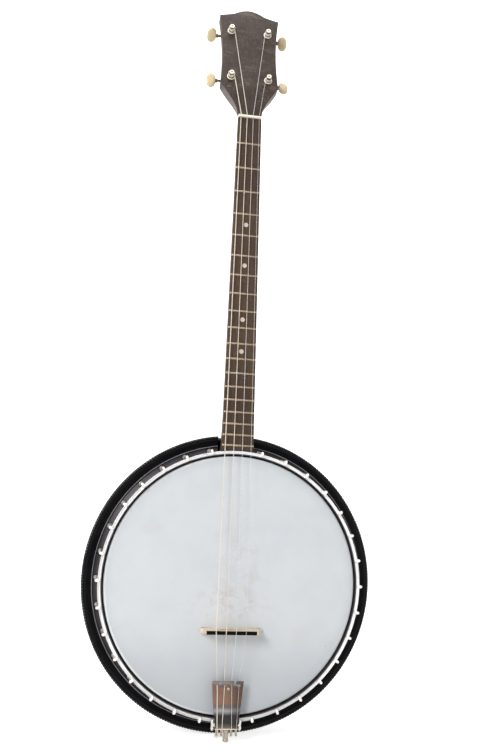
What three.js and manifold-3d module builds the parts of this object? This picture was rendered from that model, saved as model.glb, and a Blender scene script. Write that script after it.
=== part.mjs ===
// Tenor banjo with a moulded pot and a closed resonator. Lengths are in millimetres.
// Pot frame: X to the right of the drum head, Y away from the viewer, Z up the neck.
// Its origin is the centre of the pot, level with the top of the tension hoop.
// The finished part is shifted so that its own origin is where a wall hanger holds the peghead.

import * as THREE from 'three';
import { mergeVertices } from 'three/addons/utils/BufferGeometryUtils.js';
import Module from 'manifold-3d';

const wasm = await Module();
wasm.setup();

// Shared clearances
const seatGap = 0.3;
const cutOverrun = 4;

// Scale, nut and strings, strings from left to right
const scaleLength = 600;
const compensation = 3;
const fretCount = 19;
const octaveFrets = 12;
const firstGauge = 1.0;
const secondGauge = 0.76;
const thirdGauge = 0.5;
const fourthGauge = 0.33;
const nutSpacing = 7.5;
const bridgeSpacing = 11;
const traySpacing = 7.9;
const stringHeightAtNut = 1.4;
const windingTurns = 2;
const windingGap = 0.55;
const windingStart = 0.9;

// Rim and drum head
const rimRadius = 139.7;
const rimWall = 9;
const rimDepth = 52.3;
const bearingFlat = 2.2;
const bearingDrop = 4;
const rimCorner = 1.1;
const headDrop = 3;
const filmThickness = 0.4;
const filmCorner = 1.2;
const fleshHoopWidth = 4.6;
const fleshHoopHeight = 4.5;

// Tension hoop and its bracket hooks
const hoopSideGap = 1.6;
const hoopWidth = 4.1;
const hoopHeight = 9.2;
const hoopGrooveDepth = 1.3;
const hoopGrooveWall = 0.5;
const hookWire = 2.6;
const hookClearance = 0.5;
const hookLift = 0.1;
const hookPlaces = 32;
const hookNutHeight = 7;
const hookNutWidth = 7.2;

// Flange moulded round the rim
const flangeReach = 13.6;
const flangeRootDepth = 16.4;
const flangeFillet = 3.3;
const flangeFilletDrop = 1.1;
const flangeEdgeDepth = 22.4;
const flangeBackDepth = 25.2;
const flangeLipWidth = 1;
const flangeLipRise = 0.8;
const hookHole = 6;

// Resonator
const resonatorBorder = 11.7;
const resonatorWidestDepth = 26.9;
const resonatorBackDepth = 84;
const resonatorWall = 3.5;
const resonatorLipDepth = 22.7;
const resonatorLedge = 1.4;
const resonatorLedgeHeight = 3.8;
const resonatorChannelDepth = 2;
const resonatorBead = 4.6;
const resonatorBeadRise = 3.6;
const beadCrestShare = 0.5;
const resonatorBackInset = 53;
const resonatorBackStep = 0.9;
const resonatorRecessRadius = 14;
const resonatorRecessDepth = 3.6;
const resonatorBossRadius = 20;
const bowlShares = [[0.93, 0.6], [0.72, 0.88], [0.5, 0.97]];

// Neck and fingerboard
const neckPitch = THREE.MathUtils.degToRad(2.5);
const boardRise = 0.8;
const boardEndGap = 0.9;
const boardTail = 5.2;
const boardEndWidth = 36.4;
const boardNutWidth = 28.6;
const boardThickness = 5;
const fretWidth = 2.2;
const fretHeight = 1;
const fretCrownShare = 0.45;
const neckNutDepth = 19;
const neckTipShare = 0.9;
const neckRoundShare = 0.8;
const neckHeelEndDepth = 23.5;
const heelDepth = 52;
const heelLength = 62;
const heelCurveShare = 2.2;
const heelStationShares = [-0.18, 0, 0.14, 0.3, 0.5, 0.75, 1];
const notchSideGap = 1.6;
const notchEndGap = 2.4;

// Nut
const nutThickness = 3.4;
const nutRise = 2.1;
const nutShoulderShares = [0.5, 0.6];
const slotSideGap = 0.3;

// Peghead, measured from the nut along its face
const pegheadAngle = THREE.MathUtils.degToRad(12);
const pegheadFaceDrop = 3;
const pegheadThickness = 13;
const pegheadLength = 171.5;
const pegheadStart = 0.9;
const pegheadJoinWidth = 30.6;
const pegheadJoinLength = 8;
const pegheadJoinDrop = 1;
const pegheadLowerWidth = 72.8;
const pegheadLowerPlace = 49.5;
const pegheadWaistWidth = 68.6;
const pegheadTopWidth = 76.8;
const pegheadArchRise = 12.4;
const pegheadArchWidth = 39;
const flareStartShare = 0.36;
const flareEndShares = [0.77, 0.757];
const archRiseShare = 0.4;
const archHollowShares = [0.45, 0.18];
const archCrownShare = 0.46;
const hangerPlace = 20;

// Tuners
const postSpread = 47;
const lowerPostRise = 9;
const upperPostDrop = 38.5;
const postRadius = 3;
const postBevel = 0.9;
const postHeight = 6.4;
const postHoleRadius = 0.9;
const postHolePlace = 3.9;
const ferruleRadius = 4.6;
const ferruleHeight = 2.4;
const ferruleBevel = 0.5;
const washerRadius = 6.4;
const washerHeight = 1.1;
const sleeveWall = 1;
const plateThickness = 1.2;
const plateWidth = 16;
const plateBelow = 11;
const plateAbove = 7.8;
const plateCorner = 2;
const gearTeeth = 14;
const gearModule = 0.78;
const gearWidth = 3.6;
const gearRise = 4.4;
const gearScrewRadius = 2.6;
const gearScrewHeight = 1.4;
const toothTopShare = 0.8;
const toothFootShare = 1.15;
const toothTipArcShare = 0.11;
const toothFootArcShare = 0.36;
const ridgeRootShare = 0.75;
const ridgeCrestShare = 0.1;
const ridgeSlopeShare = 0.32;
const wormCoreShare = 1.1;
const wormPitchRadius = 2.9;
const wormTurns = 3;
const wormLength = 12;
const shaftRadius = 1.5;
const earThickness = 1.4;
const earWidth = 7.6;
const earAbove = 3.2;
const buttonPlace = 46.8;
const buttonLength = 12.2;
const buttonHeight = 20;
const buttonThickness = 6.6;
const buttonCollarRadius = 2.6;
const buttonCollarLength = 2;
const buttonTurns = [12, 74, 20, -6].map((angle) => THREE.MathUtils.degToRad(angle));

// Bridge
const bridgeHeight = 15.9;
const bridgeLength = 69.4;
const bridgeTopLength = 57.6;
const bridgeShift = 1.6;
const bridgeBase = 6.5;
const bridgeCrest = 3.2;
const bridgeFoot = 11;
const bridgeFootHeight = 2.4;
const bridgeArch = 7.2;
const bridgeNotch = 0.5;
const bridgeSideShare = 0.4;

// Tailpiece
const trayRise = 6;
const trayThickness = 1.2;
const trayFrontShare = 0.507;
const trayFrontWidth = 34.4;
const trayTaper = 13.4;
const trayWaistWidth = 27.4;
const trayOverhang = 4.3;
const trayEndWidth = 24.4;
const trayBand = 3.2;
const trayWindow = 2.6;
const trayWindowWidth = 12;
const traySlotWidth = 2.3;
const traySlotSpread = 15.4;
const trayFlange = 3;
const trayFold = 5.5;
const fingerSpread = 21;
const fingerInnerSpread = 10.4;
const fingerWidth = 2.2;
const fingerReach = 5.6;
const fingerRise = 3;
const loopGap = 0.35;
const loopStartShare = 0.375;
const loopSweepShare = 0.675;
const loopLeaveShare = 0.2;
const hangerBarRadius = 1.9;
const hangerShankRadius = 1.5;
const hangerEarPlace = 14.8;
const hangerEarWidth = 4.2;
const hangerEarDepth = 4.6;
const hangerEarHeight = 12;
const tailScrewHead = 6.2;
const tailScrewHeadLength = 12.4;
const tailScrewShank = 3.5;
const tailScrewSlot = 0.8;
const tailScrewSlotDepth = 1.2;

// Dowel stick and its screws
const stickWidth = 22;
const stickDepth = 29;
const tenonRadius = 6;
const tenonLength = 20;
const endScrewShank = 5;
const endScrewHead = 11;
const endScrewHeadHeight = 3.4;
const endScrewLength = 30;
const backScrewShank = 5.5;
const backScrewHead = 15;
const backScrewHeadHeight = 3;
const backScrewGrip = 11;
const domeEdgeShare = 0.35;
const domeCrownShare = 0.6;

// Step counts
const circleSteps = 64;
const wireSides = 6;
const stringSides = 5;
const pinSides = 10;
const holeSides = 8;
const threadSteps = 8;
const loopSteps = 12;
const loopPoints = 7;
const bendSteps = 2;
const neckSides = 12;

// Sizes that follow from the ones above
const collarInner = rimRadius + seatGap;
const collarOuter = collarInner + filmThickness;
const hoopInner = collarOuter + hoopSideGap;
const hoopOuter = hoopInner + hoopWidth;
const bearingDepth = headDrop + filmThickness + seatGap;
const rimBack = bearingDepth + rimDepth;
const rimInner = rimRadius - rimWall;
const flangeRadius = rimRadius + flangeReach;
const resonatorRadius = flangeRadius + resonatorBorder;
const resonatorBackRadius = resonatorRadius - resonatorBackInset;
const fleshFront = hoopHeight + seatGap;
const fleshBack = fleshFront + fleshHoopHeight;
const fleshOuter = collarInner + fleshHoopWidth;
const wireRadius = hookWire / 2;
const hookTipPlace = (hoopInner + hoopOuter) / 2;
const hookPlace = hoopOuter + hookClearance + wireRadius;
const hookNutFront = flangeBackDepth + seatGap;
const hookEnd = hookNutFront + hookNutHeight;
const boardEndPlace = hoopOuter + boardEndGap;
const boardLength = scaleLength * (1 - 2 ** (-fretCount / octaveFrets)) + boardTail;
const pegheadCornerPlace = pegheadLength - pegheadArchRise;
const lowerPostPlace = pegheadLowerPlace + lowerPostRise;
const upperPostPlace = pegheadLength - upperPostDrop;
const gearPitchRadius = gearTeeth * gearModule / 2;
const wormDistance = gearPitchRadius + wormPitchRadius;
const wormPitch = Math.PI * gearModule;
const wormCoreRadius = wormPitchRadius - gearModule * wormCoreShare;
const plateFront = pegheadThickness + seatGap;
const gearDepth = plateFront + plateThickness + gearRise;
const bridgeTop = headDrop - seatGap - bridgeHeight;
const trayEnd = hookPlace + trayOverhang;
const trayWaist = trayEnd - trayTaper;
const trayBack = -trayRise + trayThickness;
const hangerBarDepth = trayBack + seatGap + hangerBarRadius;
const stickBack = stickDepth + stickWidth;
const stickCentre = stickDepth + stickWidth / 2;
const stringGauges = [firstGauge, secondGauge, thirdGauge, fourthGauge];

// Finishes
const looks = {
  neckWood: [0x3a302c, 0.45, 0],
  rosewood: [0x3b2a24, 0.5, 0],
  bone: [0xe8e0cc, 0.5, 0],
  blackPlastic: [0x121113, 0.25, 0],
  brownPlastic: [0x2c2226, 0.25, 0],
  nickel: [0xc9c6c0, 0.25, 1],
  headFilm: [0xd2d9dd, 0.6, 0],
  maple: [0xc79f68, 0.5, 0],
  paleWood: [0xb89466, 0.6, 0],
  cream: [0xe6d3a4, 0.35, 0],
  bronze: [0xb99a62, 0.35, 1],
  steel: [0xb8b8b8, 0.3, 1],
};

// Solid modelling helpers
function solidOf(geometry) {
  const bare = geometry.index ? geometry.toNonIndexed() : geometry.clone();
  for (const name of Object.keys(bare.attributes)) {
    if (name !== 'position') bare.deleteAttribute(name);
  }
  const merged = mergeVertices(bare);
  const mesh = new wasm.Mesh({
    numProp: 3,
    vertProperties: new Float32Array(merged.attributes.position.array),
    triVerts: new Uint32Array(merged.index.array),
  });
  return new wasm.Manifold(mesh);
}

function geometryOf(solid) {
  const mesh = solid.getMesh();
  const geometry = new THREE.BufferGeometry();
  geometry.setAttribute('position', new THREE.BufferAttribute(new Float32Array(mesh.vertProperties), 3));
  geometry.setIndex(new THREE.BufferAttribute(new Uint32Array(mesh.triVerts), 1));
  return geometry;
}

function join(...geometries) {
  let solid = solidOf(geometries[0]);
  for (const geometry of geometries.slice(1)) solid = solid.add(solidOf(geometry));
  return geometryOf(solid);
}

function cut(geometry, ...tools) {
  let solid = solidOf(geometry);
  for (const tool of tools) solid = solid.subtract(solidOf(tool));
  return geometryOf(solid);
}

function common(first, second) {
  return geometryOf(solidOf(first).intersect(solidOf(second)));
}

function mirrored(geometry) {
  const bare = geometry.index ? geometry.toNonIndexed() : geometry.clone();
  bare.scale(-1, 1, 1);
  const place = bare.attributes.position;
  for (let i = 0; i < place.count; i += 3) {
    const held = new THREE.Vector3().fromBufferAttribute(place, i);
    const last = new THREE.Vector3().fromBufferAttribute(place, i + 2);
    place.setXYZ(i, last.x, last.y, last.z);
    place.setXYZ(i + 2, held.x, held.y, held.z);
  }
  return bare;
}

// A ring or a disc turned about the depth axis. Its profile runs outwards along the front.
function turned(profile, steps = circleSteps) {
  const points = profile.map(([radius, depth]) => new THREE.Vector2(radius, depth));
  if (profile[0][0] > 0) points.push(points[0].clone());
  return new THREE.LatheGeometry(points, steps);
}

// A flat piece whose outline lies in X and Z and whose thickness runs along the depth.
function slab(shape, front, back, curveSegments = wireSides) {
  const depth = back - front;
  const geometry = new THREE.ExtrudeGeometry(shape, { depth, bevelEnabled: false, curveSegments });
  return geometry.rotateX(Math.PI / 2).translate(0, back, 0);
}

function block(width, depth, height, x, y, z) {
  return new THREE.BoxGeometry(width, depth, height).translate(x, y, z);
}

// A round pin along the depth axis
function depthPin(radius, front, back, x, z, sides = pinSides) {
  return new THREE.CylinderGeometry(radius, radius, back - front, sides).translate(x, (front + back) / 2, z);
}

// A round pin along X
function crossPin(radius, from, to, y, z, sides = pinSides) {
  const pin = new THREE.CylinderGeometry(radius, radius, to - from, sides);
  return pin.rotateZ(Math.PI / 2).translate((from + to) / 2, y, z);
}

// A round pin along Z
function risePin(radius, from, to, x, y, sides = pinSides) {
  const pin = new THREE.CylinderGeometry(radius, radius, to - from, sides);
  return pin.rotateX(Math.PI / 2).translate(x, y, (from + to) / 2);
}

function polygon(points) {
  return new THREE.Shape(points.map(([x, y]) => new THREE.Vector2(x, y)));
}

// An outline in Z and in height above a face, stretched along X
function crossBar(outline, width) {
  const geometry = new THREE.ExtrudeGeometry(polygon(outline), { depth: width, bevelEnabled: false });
  const turn = new THREE.Matrix4();
  turn.makeBasis(new THREE.Vector3(0, 0, 1), new THREE.Vector3(0, -1, 0), new THREE.Vector3(1, 0, 0));
  return geometry.applyMatrix4(turn).translate(-width / 2, 0, 0);
}

// A route that passes through each of its points in turn
class Route extends THREE.Curve {
  constructor(points) {
    super();
    this.points = points;
  }

  getPoint(t, target = new THREE.Vector3()) {
    const place = t * (this.points.length - 1);
    const from = Math.min(Math.floor(place), this.points.length - 2);
    return target.lerpVectors(this.points[from], this.points[from + 1], place - from);
  }

  getPointAt(u, target) {
    return this.getPoint(u, target);
  }

  getTangentAt(u, target = new THREE.Vector3()) {
    const last = this.points.length - 1;
    const at = Math.round(u * last);
    const before = this.points[Math.max(at - 1, 0)];
    const after = this.points[Math.min(at + 1, last)];
    return target.subVectors(after, before).normalize();
  }
}

function wire(points, radius, sides) {
  const section = new THREE.Shape();
  section.absarc(0, 0, radius, 0, 2 * Math.PI);
  const ring = new THREE.Shape(section.getSpacedPoints(sides).slice(0, sides));
  const route = new Route(points);
  return new THREE.ExtrudeGeometry(ring, { steps: points.length - 1, extrudePath: route });
}

// A closed skin over a row of sections that have the same number of points
function loft(sections) {
  const count = sections[0].length;
  const places = sections.flat().flatMap((point) => [point.x, point.y, point.z]);
  const faces = [];
  for (let row = 0; row < sections.length - 1; row += 1) {
    for (let i = 0; i < count; i += 1) {
      const here = row * count + i;
      const next = row * count + (i + 1) % count;
      faces.push(here, next, next + count, here, next + count, here + count);
    }
  }
  const end = (sections.length - 1) * count;
  for (let i = 1; i < count - 1; i += 1) {
    faces.push(0, i + 1, i);
    faces.push(end, end + i, end + i + 1);
  }
  const geometry = new THREE.BufferGeometry();
  geometry.setAttribute('position', new THREE.Float32BufferAttribute(places, 3));
  geometry.setIndex(faces);
  return geometry;
}

function piece(group, name, geometry, look) {
  const [color, roughness, metalness] = looks[look];
  const mesh = new THREE.Mesh(geometry, new THREE.MeshStandardMaterial({ color, roughness, metalness }));
  mesh.name = name;
  group.add(mesh);
  return mesh;
}

// The three frames: pot, neck along the fingerboard's face, and peghead along its own face
const part = new THREE.Group();
const pot = new THREE.Group();
const neck = new THREE.Group();
const peghead = new THREE.Group();
part.add(pot);
pot.add(neck);
neck.add(peghead);
neck.position.set(0, -boardRise, boardEndPlace);
neck.rotation.x = -neckPitch;
peghead.position.set(0, pegheadFaceDrop, boardLength + nutThickness + 2 * seatGap);
peghead.rotation.x = -pegheadAngle;
part.updateMatrixWorld(true);
const potToNeck = neck.matrixWorld.clone().invert();
const pegheadToNeck = peghead.matrix.clone();
const neckEndPlace = neck.localToWorld(new THREE.Vector3(0, 0, boardLength));
const bridgePlace = neckEndPlace.z - (scaleLength + compensation) * Math.cos(neckPitch);
const trayFront = (trayEnd + bridgePlace) * trayFrontShare - bridgePlace;

// Bracket hooks take every place on the circle but the neck's and the tailpiece's.
const hookAngles = [];
for (let i = 0; i < hookPlaces; i += 1) {
  const quarter = hookPlaces / 4;
  if (i !== quarter && i !== 3 * quarter) hookAngles.push(i * 2 * Math.PI / hookPlaces);
}

function buildRim() {
  const lipInner = flangeRadius - flangeLipWidth;
  const ring = turned([
    [rimInner, bearingDepth + bearingDrop],
    [rimRadius - rimCorner - bearingFlat, bearingDepth],
    [rimRadius - rimCorner, bearingDepth],
    [rimRadius, bearingDepth + rimCorner],
    [rimRadius, flangeRootDepth],
    [rimRadius + flangeFillet, flangeRootDepth + flangeFilletDrop],
    [lipInner - flangeLipRise, flangeEdgeDepth],
    [lipInner, flangeEdgeDepth - flangeLipRise],
    [flangeRadius, flangeEdgeDepth - flangeLipRise],
    [flangeRadius, flangeBackDepth],
    [rimRadius, flangeBackDepth],
    [rimRadius, rimBack],
    [rimInner, rimBack],
  ]);
  const holes = [];
  for (const angle of [...hookAngles, 3 * Math.PI / 2]) {
    const x = hookPlace * Math.cos(angle);
    const z = hookPlace * Math.sin(angle);
    holes.push(depthPin(hookHole / 2, flangeRootDepth, flangeBackDepth + cutOverrun, x, z, wireSides));
  }
  const notchWidth = boardEndWidth + 2 * notchSideGap;
  const notchBottom = rimRadius - cutOverrun;
  const notchTop = flangeRadius + cutOverrun;
  const notch = cut(
    block(notchWidth, rimDepth, notchTop - notchBottom, 0, rimDepth / 2, (notchTop + notchBottom) / 2),
    depthPin(rimRadius, -cutOverrun, rimBack, 0, 0, circleSteps),
  );
  const inside = rimInner - cutOverrun;
  const outside = rimRadius + cutOverrun;
  const stickHole = risePin(tenonRadius + seatGap, inside, outside, 0, stickCentre);
  const screwHole = risePin(endScrewShank / 2 + seatGap, -outside, -inside, 0, stickCentre);
  piece(pot, 'rim', cut(ring, ...holes, notch, stickHole, screwHole), 'brownPlastic');
}

function buildDrumHead() {
  const back = headDrop + filmThickness;
  const film = turned([
    [0, headDrop],
    [collarOuter - filmCorner, headDrop],
    [collarOuter, headDrop + filmCorner],
    [collarOuter, fleshFront],
    [fleshOuter, fleshFront],
    [fleshOuter, fleshBack],
    [collarInner, fleshBack],
    [collarInner, back],
    [0, back],
  ]);
  piece(pot, 'drum_head', film, 'headFilm');
}

function buildTensionHoop() {
  const hoop = turned([
    [hoopInner, 0],
    [hoopInner + hoopGrooveWall, 0],
    [hoopInner + hoopGrooveWall, hoopGrooveDepth],
    [hoopOuter - hoopGrooveWall, hoopGrooveDepth],
    [hoopOuter - hoopGrooveWall, 0],
    [hoopOuter, 0],
    [hoopOuter, hoopHeight],
    [hoopInner, hoopHeight],
  ]);
  piece(pot, 'tension_hoop', hoop, 'nickel');
}

function buildHooks() {
  const bend = (hookPlace - hookTipPlace) / 2;
  const centre = hookTipPlace + bend;
  const points = [new THREE.Vector3(hookTipPlace, hoopGrooveDepth - seatGap, 0)];
  for (let i = 0; i <= bendSteps; i += 1) {
    const turn = Math.PI * (1 - i / bendSteps);
    points.push(new THREE.Vector3(centre + bend * Math.cos(turn), -hookLift - bend * Math.sin(turn), 0));
  }
  points.push(new THREE.Vector3(hookPlace, (hookNutFront + hookEnd) / 2, 0));
  const nut = depthPin(hookNutWidth / 2, hookNutFront, hookNutFront + hookNutHeight, hookPlace, 0, wireSides);
  const hook = join(wire(points, wireRadius, stringSides), nut);
  hookAngles.forEach((angle, i) => {
    const number = String(i + 1).padStart(2, '0');
    const mesh = piece(pot, `bracket_hook_${number}`, hook.clone(), 'nickel');
    mesh.rotation.y = -angle;
  });
}

function buildResonator() {
  const lipInner = flangeRadius + seatGap;
  const ledgeInner = flangeRadius - resonatorLedge;
  const ledgeFront = flangeBackDepth + seatGap;
  const beadInner = resonatorRadius - resonatorBead;
  const beadFront = resonatorWidestDepth - resonatorBeadRise;
  const depth = resonatorBackDepth - resonatorWidestDepth;
  const side = resonatorRadius - resonatorBackRadius;
  const floor = resonatorBackDepth - resonatorWall;
  const recess = resonatorBackDepth - resonatorRecessDepth;
  const hole = backScrewShank / 2 + seatGap;
  const outer = bowlShares.map(([out, down]) => [
    resonatorBackRadius + side * out,
    resonatorWidestDepth + depth * down,
  ]);
  const inner = outer.map(([radius, place]) => [radius - resonatorWall, place - resonatorWall / 2]).reverse();
  const bowl = turned([
    [hole, recess - resonatorWall],
    [resonatorBossRadius, recess - resonatorWall],
    [resonatorBossRadius + resonatorRecessDepth, floor],
    ...inner,
    [resonatorRadius - 2 * resonatorWall, ledgeFront + 2 * resonatorLedgeHeight],
    [ledgeInner, ledgeFront + resonatorLedgeHeight],
    [ledgeInner, ledgeFront],
    [lipInner, ledgeFront],
    [lipInner, resonatorLipDepth],
    [beadInner, resonatorLipDepth + resonatorChannelDepth],
    [resonatorRadius - resonatorBead * beadCrestShare, beadFront],
    [resonatorRadius, resonatorWidestDepth],
    ...outer,
    [resonatorBackRadius, resonatorBackDepth],
    [resonatorRecessRadius + resonatorBackStep, resonatorBackDepth],
    [resonatorRecessRadius, recess],
    [hole, recess],
  ]);
  const notchHalf = boardEndWidth / 2 + notchSideGap;
  const notchEnd = heelDepth + notchEndGap;
  const outline = new THREE.Shape();
  outline.moveTo(-notchHalf, -cutOverrun);
  outline.lineTo(notchHalf, -cutOverrun);
  outline.lineTo(notchHalf, resonatorLipDepth);
  outline.absellipse(0, resonatorLipDepth, notchHalf, notchEnd - resonatorLipDepth, 0, Math.PI, false);
  const notch = new THREE.ExtrudeGeometry(outline, {
    depth: resonatorRadius - rimRadius + cutOverrun,
    bevelEnabled: false,
    curveSegments: neckSides,
  });
  notch.translate(0, 0, rimRadius + rimCorner);
  piece(pot, 'resonator', cut(bowl, notch), 'blackPlastic');
}

function buildStick() {
  const half = Math.sqrt(rimInner ** 2 - (stickWidth / 2) ** 2) - seatGap;
  const bar = block(stickWidth, stickWidth, 2 * half, 0, stickCentre, 0);
  const tenon = risePin(tenonRadius, half - cutOverrun, rimInner + tenonLength, 0, stickCentre);
  const endPilot = endScrewShank / 2 + seatGap;
  const endDepth = cutOverrun + endScrewLength - rimRadius;
  const endHole = risePin(endPilot, -half - cutOverrun, endDepth, 0, stickCentre);
  const backPilot = backScrewShank / 2 + seatGap;
  const backHole = depthPin(backPilot, stickBack - backScrewGrip - cutOverrun, stickBack + cutOverrun, 0, 0);
  piece(pot, 'dowel_stick', cut(join(bar, tenon), endHole, backHole), 'paleWood');

  const headBottom = -rimRadius - seatGap;
  const shankBottom = headBottom - endScrewHeadHeight / 2;
  const shank = risePin(endScrewShank / 2, shankBottom, headBottom + endScrewLength, 0, 0);
  const dome = turned([
    [0, 0],
    [endScrewHead / 2, 0],
    [endScrewHead / 2, endScrewHeadHeight * domeEdgeShare],
    [endScrewHead * domeCrownShare / 2, endScrewHeadHeight],
    [0, endScrewHeadHeight],
  ], pinSides);
  dome.rotateX(-Math.PI / 2).translate(0, 0, headBottom);
  piece(pot, 'end_screw', join(dome, shank).translate(0, stickCentre, 0), 'nickel');

  const headFront = resonatorBackDepth - resonatorRecessDepth + seatGap;
  const headBack = headFront + backScrewHeadHeight;
  const backShank = depthPin(backScrewShank / 2, stickBack - backScrewGrip, headFront + seatGap, 0, 0);
  const backDome = turned([
    [0, headFront],
    [backScrewHead / 2, headFront],
    [backScrewHead / 2, headFront + backScrewHeadHeight * domeEdgeShare],
    [backScrewHead * domeCrownShare / 2, headBack],
    [0, headBack],
  ], pinSides);
  piece(pot, 'resonator_screw', join(backDome, backShank), 'nickel');
}

// The neck's back at a place along the fingerboard, measured from the fingerboard's face
function neckBackAt(place) {
  const share = THREE.MathUtils.clamp(1 - place / heelLength, 0, 1);
  const shaft = THREE.MathUtils.lerp(neckHeelEndDepth, neckNutDepth, Math.max(place, 0) / boardLength);
  return shaft + (heelDepth - neckHeelEndDepth) * share ** heelCurveShare;
}

function boardHalfAt(place) {
  return THREE.MathUtils.lerp(boardEndWidth, boardNutWidth, place / boardLength) / 2;
}

function neckSection(place, top, back, half) {
  const points = [];
  for (let i = 0; i <= neckSides; i += 1) {
    const turn = Math.PI * i / neckSides;
    const rise = i === 0 || i === neckSides ? 0 : Math.sin(turn) ** neckRoundShare;
    points.push(new THREE.Vector3(half * Math.cos(turn), top + (back - top) * rise, place));
  }
  return points;
}

function buildNeck() {
  const top = boardThickness + seatGap;
  const sections = heelStationShares.map((share) => {
    const place = share * heelLength;
    return neckSection(place, top, neckBackAt(place), boardHalfAt(Math.max(place, 0)));
  });
  const neckEnd = boardLength + nutThickness + 2 * seatGap;
  sections.push(neckSection(neckEnd, top, neckNutDepth, boardNutWidth / 2));
  const neckTip = neckEnd + pegheadJoinLength;
  sections.push(neckSection(neckTip, top + pegheadJoinDrop, neckNutDepth, boardNutWidth * neckTipShare / 2));
  const shaft = loft(sections);

  const outline = new THREE.Shape();
  const start = pegheadJoinWidth / 2;
  const lower = pegheadLowerWidth / 2;
  const flareFrom = pegheadLowerPlace * flareStartShare;
  const flareOut = start + (lower - start) * flareEndShares[0];
  const flareTo = pegheadLowerPlace * flareEndShares[1];
  const waist = pegheadWaistWidth - (pegheadLowerWidth + pegheadTopWidth) / 4;
  const corner = pegheadTopWidth / 2;
  const arch = pegheadArchWidth / 2;
  const archPlace = pegheadCornerPlace + pegheadArchRise * archRiseShare;
  const hollow = arch + (corner - arch) * archHollowShares[0];
  const hollowPlace = pegheadCornerPlace + pegheadArchRise * archHollowShares[1];
  const crown = arch * archCrownShare;
  const middle = (pegheadLowerPlace + pegheadCornerPlace) / 2;
  outline.moveTo(-start, pegheadStart);
  outline.lineTo(start, pegheadStart);
  outline.bezierCurveTo(start, flareFrom, flareOut, flareTo, lower, pegheadLowerPlace);
  outline.quadraticCurveTo(waist, middle, corner, pegheadCornerPlace);
  outline.quadraticCurveTo(hollow, hollowPlace, arch, archPlace);
  outline.quadraticCurveTo(crown, pegheadLength, 0, pegheadLength);
  outline.quadraticCurveTo(-crown, pegheadLength, -arch, archPlace);
  outline.quadraticCurveTo(-hollow, hollowPlace, -corner, pegheadCornerPlace);
  outline.quadraticCurveTo(-waist, middle, -lower, pegheadLowerPlace);
  outline.bezierCurveTo(-flareOut, flareTo, -start, flareFrom, -start, pegheadStart);
  const holes = tunerPlaces.map(([x, z]) => {
    const radius = postRadius + 2 * seatGap + sleeveWall;
    return depthPin(radius, -cutOverrun, pegheadThickness + cutOverrun, x, z);
  });
  const board = cut(slab(outline, 0, pegheadThickness), ...holes).applyMatrix4(pegheadToNeck);

  const hoopCut = depthPin(hoopOuter + seatGap, -heelDepth, fleshBack + seatGap, 0, 0, circleSteps);
  const rimCut = depthPin(rimRadius + seatGap, -heelDepth, 2 * heelDepth, 0, 0, circleSteps);
  const socketEnd = rimInner + tenonLength + seatGap;
  const socket = risePin(tenonRadius + seatGap, rimInner - cutOverrun, socketEnd, 0, stickCentre);
  const cuts = [hoopCut, rimCut, socket].map((tool) => tool.applyMatrix4(potToNeck));
  piece(neck, 'neck', cut(join(shaft, board), ...cuts), 'neckWood');
}

function buildFingerboard() {
  const board = slab(polygon([
    [-boardEndWidth / 2, 0],
    [boardEndWidth / 2, 0],
    [boardNutWidth / 2, boardLength],
    [-boardNutWidth / 2, boardLength],
  ]), 0, boardThickness);
  const frets = [];
  for (let n = 1; n <= fretCount; n += 1) {
    const place = boardLength - scaleLength * (1 - 2 ** (-n / octaveFrets));
    const half = fretWidth / 2;
    const crown = crossBar([
      [-half, -fretHeight],
      [half, -fretHeight],
      [half * fretCrownShare, fretHeight],
      [-half * fretCrownShare, fretHeight],
    ], 2 * boardHalfAt(place));
    frets.push(crown.translate(0, 0, place));
  }
  piece(neck, 'fingerboard', join(board, ...frets), 'rosewood');
}

function nutPlaceOf(i) {
  return (i - (stringGauges.length - 1) / 2) * nutSpacing;
}

function buildNut() {
  const bottom = -boardThickness;
  const bar = crossBar([
    [0, bottom],
    [nutThickness, bottom],
    [nutThickness, nutRise * nutShoulderShares[1]],
    [nutThickness * nutShoulderShares[0], nutRise],
    [0, nutRise],
  ], boardNutWidth);
  bar.translate(0, 0, boardLength + seatGap);
  const slots = stringGauges.map((gauge, i) => {
    const floor = stringHeightAtNut - seatGap;
    const height = nutRise - floor + cutOverrun;
    const length = nutThickness + 2 * cutOverrun;
    const y = -floor - height / 2;
    return block(gauge + 2 * slotSideGap, height, length, nutPlaceOf(i), y, boardLength + nutThickness / 2);
  });
  piece(neck, 'string_nut', cut(bar, ...slots), 'bone');
}

// Where the four posts stand on the peghead: lower left, upper left, upper right, lower right
const tunerPlaces = [
  [-postSpread / 2, lowerPostPlace],
  [-postSpread / 2, upperPostPlace],
  [postSpread / 2, upperPostPlace],
  [postSpread / 2, lowerPostPlace],
];

function gearOutline() {
  const points = [];
  const toothStep = 2 * Math.PI / gearTeeth;
  const outer = gearPitchRadius + gearModule * toothTopShare;
  const root = gearPitchRadius - gearModule * toothFootShare;
  const tip = toothStep * toothTipArcShare;
  const foot = toothStep * toothFootArcShare;
  for (let i = 0; i < gearTeeth; i += 1) {
    const centre = Math.PI / 2 + (i + 0.5) * toothStep;
    for (const [radius, angle] of [[root, -foot], [outer, -tip], [outer, tip], [root, foot]]) {
      points.push([radius * Math.cos(centre + angle), radius * Math.sin(centre + angle)]);
    }
  }
  return polygon(points);
}

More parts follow.
